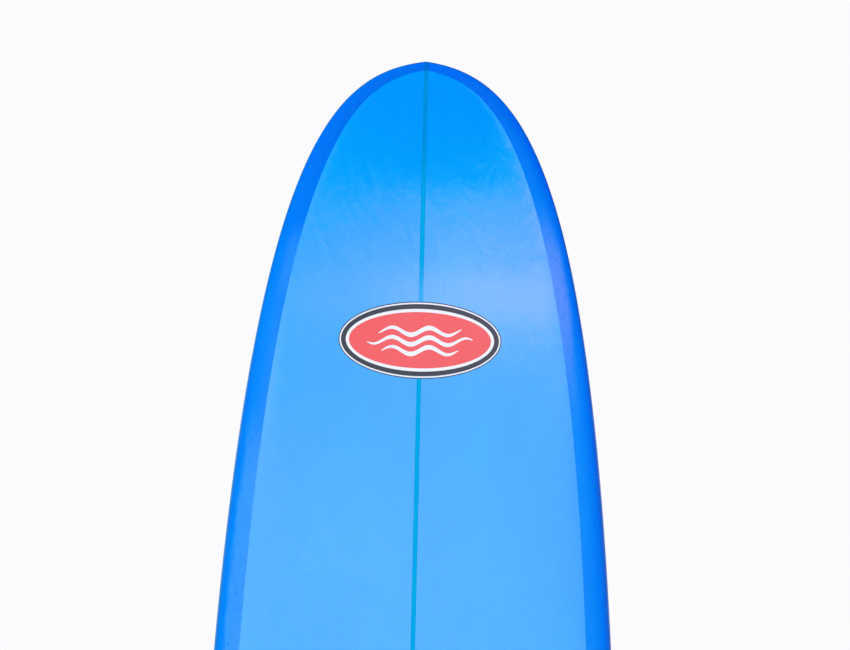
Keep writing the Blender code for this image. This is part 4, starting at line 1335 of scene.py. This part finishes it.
# --------------------------------------------------------------------------
# Surroundings; angles in degrees, turn 0 towards -y and growing towards +x
# --------------------------------------------------------------------------
# The room seen in reflections: (angle above eye level, colour)
WALL = (
    (-30.0, (0.000, 0.000, 0.000)),
    (-14.6, (0.000, 0.000, 0.000)),
    (-13.8, (0.004, 0.110, 0.150)),
    (-13.2, (0.045, 0.260, 0.320)),
    (-12.7, (0.150, 0.350, 0.400)),
    (-12.0, (0.275, 0.410, 0.470)),
    (-11.3, (0.420, 0.450, 0.520)),
    (-10.6, (0.600, 0.570, 0.640)),
    (-9.8, (0.780, 0.760, 0.800)),
    (-9.1, (0.940, 0.930, 0.960)),
    (-8.4, (0.800, 0.830, 0.880)),
    (-7.5, (0.690, 0.740, 0.790)),
    (-6.5, (0.650, 0.740, 0.790)),
    (-5.5, (0.660, 0.830, 0.880)),
    (-4.8, (0.770, 0.950, 1.000)),
    (-4.0, (0.800, 0.980, 1.000)),
    (-1.0, (0.800, 0.980, 1.000)),
    (2.5, (0.300, 0.330, 0.360)),
    (6.0, (0.020, 0.025, 0.030)),
    (45.0, (0.015, 0.018, 0.022)),
    (60.0, (0.100, 0.100, 0.110)),
)
# Its brightness round the board: (turn, colour)
SIDES = (
    (-180.0, (0.50, 0.50, 0.52)),
    (-125.0, (0.25, 0.25, 0.27)),
    (-80.0, (0.05, 0.05, 0.05)),
    (-45.0, (0.30, 0.32, 0.34)),
    (-26.0, (0.92, 0.92, 0.92)),
    (-4.0, (1.00, 1.00, 1.00)),
    (3.0, (1.00, 1.00, 1.00)),
    (12.0, (0.90, 0.92, 0.92)),
    (20.0, (0.72, 0.74, 0.74)),
    (35.0, (0.30, 0.32, 0.34)),
    (70.0, (0.05, 0.05, 0.05)),
    (125.0, (0.25, 0.25, 0.27)),
    (180.0, (0.50, 0.50, 0.52)),
)
# Soft ovals: (turn, spread of the turn, height, spread of the height, lean), colour
SHADE = (-14.0, 8.0, -6.6, 1.1, -0.15), (0.60, 0.72, 0.72)
GLOWS = (
    ((-17.0, 9.0, -4.1, 0.9, 0.0), (0.26, 0.20, 0.20)),
    ((17.0, 6.0, -7.4, 1.2, 0.10), (0.36, 0.22, 0.33)),
    ((27.0, 8.0, -5.4, 1.6, 0.10), (0.25, 0.10, 0.22)),
)
# Soft light on matt colour: by the direction's z, and by its x
SOFT = ((-1.0, (0.80, 0.80, 0.84)), (0.0, (0.98, 0.98, 1.0)), (1.0, (1.0, 1.0, 1.0)))
WINDOW = ((-1.0, (1.36, 1.36, 1.36)), (1.0, (0.60, 0.60, 0.60)))
BLACK, WHITE = (0.0, 0.0, 0.0), (1.0, 1.0, 1.0)


def bell(tree, square):
    return tree.math("EXPONENT", tree.multiply(square, -0.5))


def soft_oval(tree, turn, up, shape):
    turn_at, turn_wide, up_at, up_wide, lean = shape
    off = tree.math("SUBTRACT", turn, turn_at)
    across = tree.math("DIVIDE", off, turn_wide)
    above = tree.math("SUBTRACT", tree.math("SUBTRACT", up, up_at), tree.multiply(off, lean))
    above = tree.math("DIVIDE", above, up_wide)
    squares = tree.multiply(across, across), tree.multiply(above, above)
    return bell(tree, tree.math("ADD", *squares))


def lit(tree, seen, where, colour):
    return tree.mix(1.0, seen, tree.mix(where, BLACK, colour), "ADD")


def reflected_room(tree, direction):
    """A room with a bright wall and dark sides."""
    x, y, z = direction
    degrees = 180 / math.pi
    up = tree.multiply(tree.math("ARCSINE", z), degrees)
    turn = tree.multiply(tree.math("ARCTAN2", x, tree.multiply(y, -1.0)), degrees)
    # The wall starts some way below eye level. Its edge climbs 0.20 a degree beyond -3, by 5
    # at most, and 0.15 a degree beyond 5, by 4 at most.
    lean = tree.multiply(tree.math("MINIMUM", tree.math("ADD", turn, 3.0), 0.0), 0.20)
    lean = tree.math("MAXIMUM", lean, -5.0)
    other = tree.multiply(tree.math("MAXIMUM", tree.math("SUBTRACT", turn, 5.0), 0.0), 0.15)
    level = tree.math("SUBTRACT", tree.math("ADD", up, lean), tree.math("MINIMUM", other, 4.0))
    seen = tree.times(tree.ramp(level, WALL), by=tree.ramp(turn, SIDES))
    shape, colour = SHADE
    seen = tree.times(seen, by=tree.mix(soft_oval(tree, turn, up, shape), WHITE, colour))
    warm = tree.span(turn, over=(-5.0, 5.0))
    warm = tree.multiply(warm, tree.span(up, over=(-8.5, -6.6), to=(1.0, 0.0)))
    seen = tree.times(seen, by=tree.mix(warm, WHITE, to=(1.72, 1.42, 1.60)))
    for shape, colour in GLOWS:
        seen = lit(tree, seen, soft_oval(tree, turn, up, shape), colour)
    # Tall strip lights in pairs low in front, to the sides and behind, for the views from
    # above and behind: turn, spread, where they reach in height, colour.
    low_only = tree.span(up, over=(-24.0, -20.0), to=(1.0, 0.0))
    below = tree.span(up, over=(-22.0, -14.0), to=(1.0, 0.0))
    for at, wide, where, colour in (
        (31.0, 5.0, low_only, (0.70, 0.72, 0.76)),
        (66.0, 12.0, low_only, (0.26, 0.27, 0.30)),
        (104.0, 7.0, below, (3.2, 3.3, 3.5)),
        (131.0, 5.0, 1.0, (0.45, 0.50, 0.55)),
    ):
        for side_at in (-at, at):
            strip = tree.math("DIVIDE", tree.math("SUBTRACT", turn, side_at), wide)
            strip = bell(tree, tree.multiply(strip, strip))
            seen = lit(tree, seen, tree.multiply(strip, where), colour)
    return seen


def studio_world():
    """A pale backdrop for the camera, soft light on matt colour, and a room for reflections."""
    tree = NodeTree("studio", world=True)
    path = tree.node("LightPath").outputs
    direction = tree.split(tree.node("TexCoord").outputs["Generated"])
    room = tree.background(reflected_room(tree, direction), strength=3.25)
    soft = tree.times(tree.ramp(direction[2], SOFT), by=tree.ramp(direction[0], WINDOW))
    soft = tree.background(soft, strength=1.20)
    backdrop = tree.background((0.972, 0.966, 0.990), strength=1.0)
    light = tree.mix_shader(path["Is Glossy Ray"], soft, room)
    light = tree.mix_shader(path["Is Camera Ray"], light, backdrop)
    world = tree.finish(light, kind="OutputWorld")
    bpy.context.scene.world = world
    world.cycles.sampling_method = "NONE"


# --------------------------------------------------------------------------
# Camera
# --------------------------------------------------------------------------
CAMERA_X, CAMERA_Z, CAMERA_DISTANCE = 0.0066, 2.403, 6.0
CAMERA_ROLL = 0.0232        # radians
VIEW_WIDTH = 1.19           # width seen in the plane y = 0
SENSOR_WIDTH = 36.0         # millimetres


def view_camera():
    """Looks along +y at the upper part of the deck, slightly rolled."""
    data = bpy.data.cameras.new("view")
    camera = add_object("view", data)
    cosine, sine = math.cos(CAMERA_ROLL), math.sin(CAMERA_ROLL)
    camera.matrix_world = Matrix(
        (
            (cosine, -sine, 0.0, CAMERA_X),
            (0.0, 0.0, -1.0, -CAMERA_DISTANCE),
            (sine, cosine, 0.0, CAMERA_Z),
            (0.0, 0.0, 0.0, 1.0),
        )
    )
    data.sensor_width = SENSOR_WIDTH
    data.lens = SENSOR_WIDTH * CAMERA_DISTANCE / VIEW_WIDTH
    data.clip_end = 100.0
    bpy.context.scene.camera = camera


studio_floor()
studio_world()
view_camera()
bpy.context.scene.view_settings.view_transform = "Standard"
bpy.context.scene.view_settings.look = "None"

bpy.context.view_layer.update()
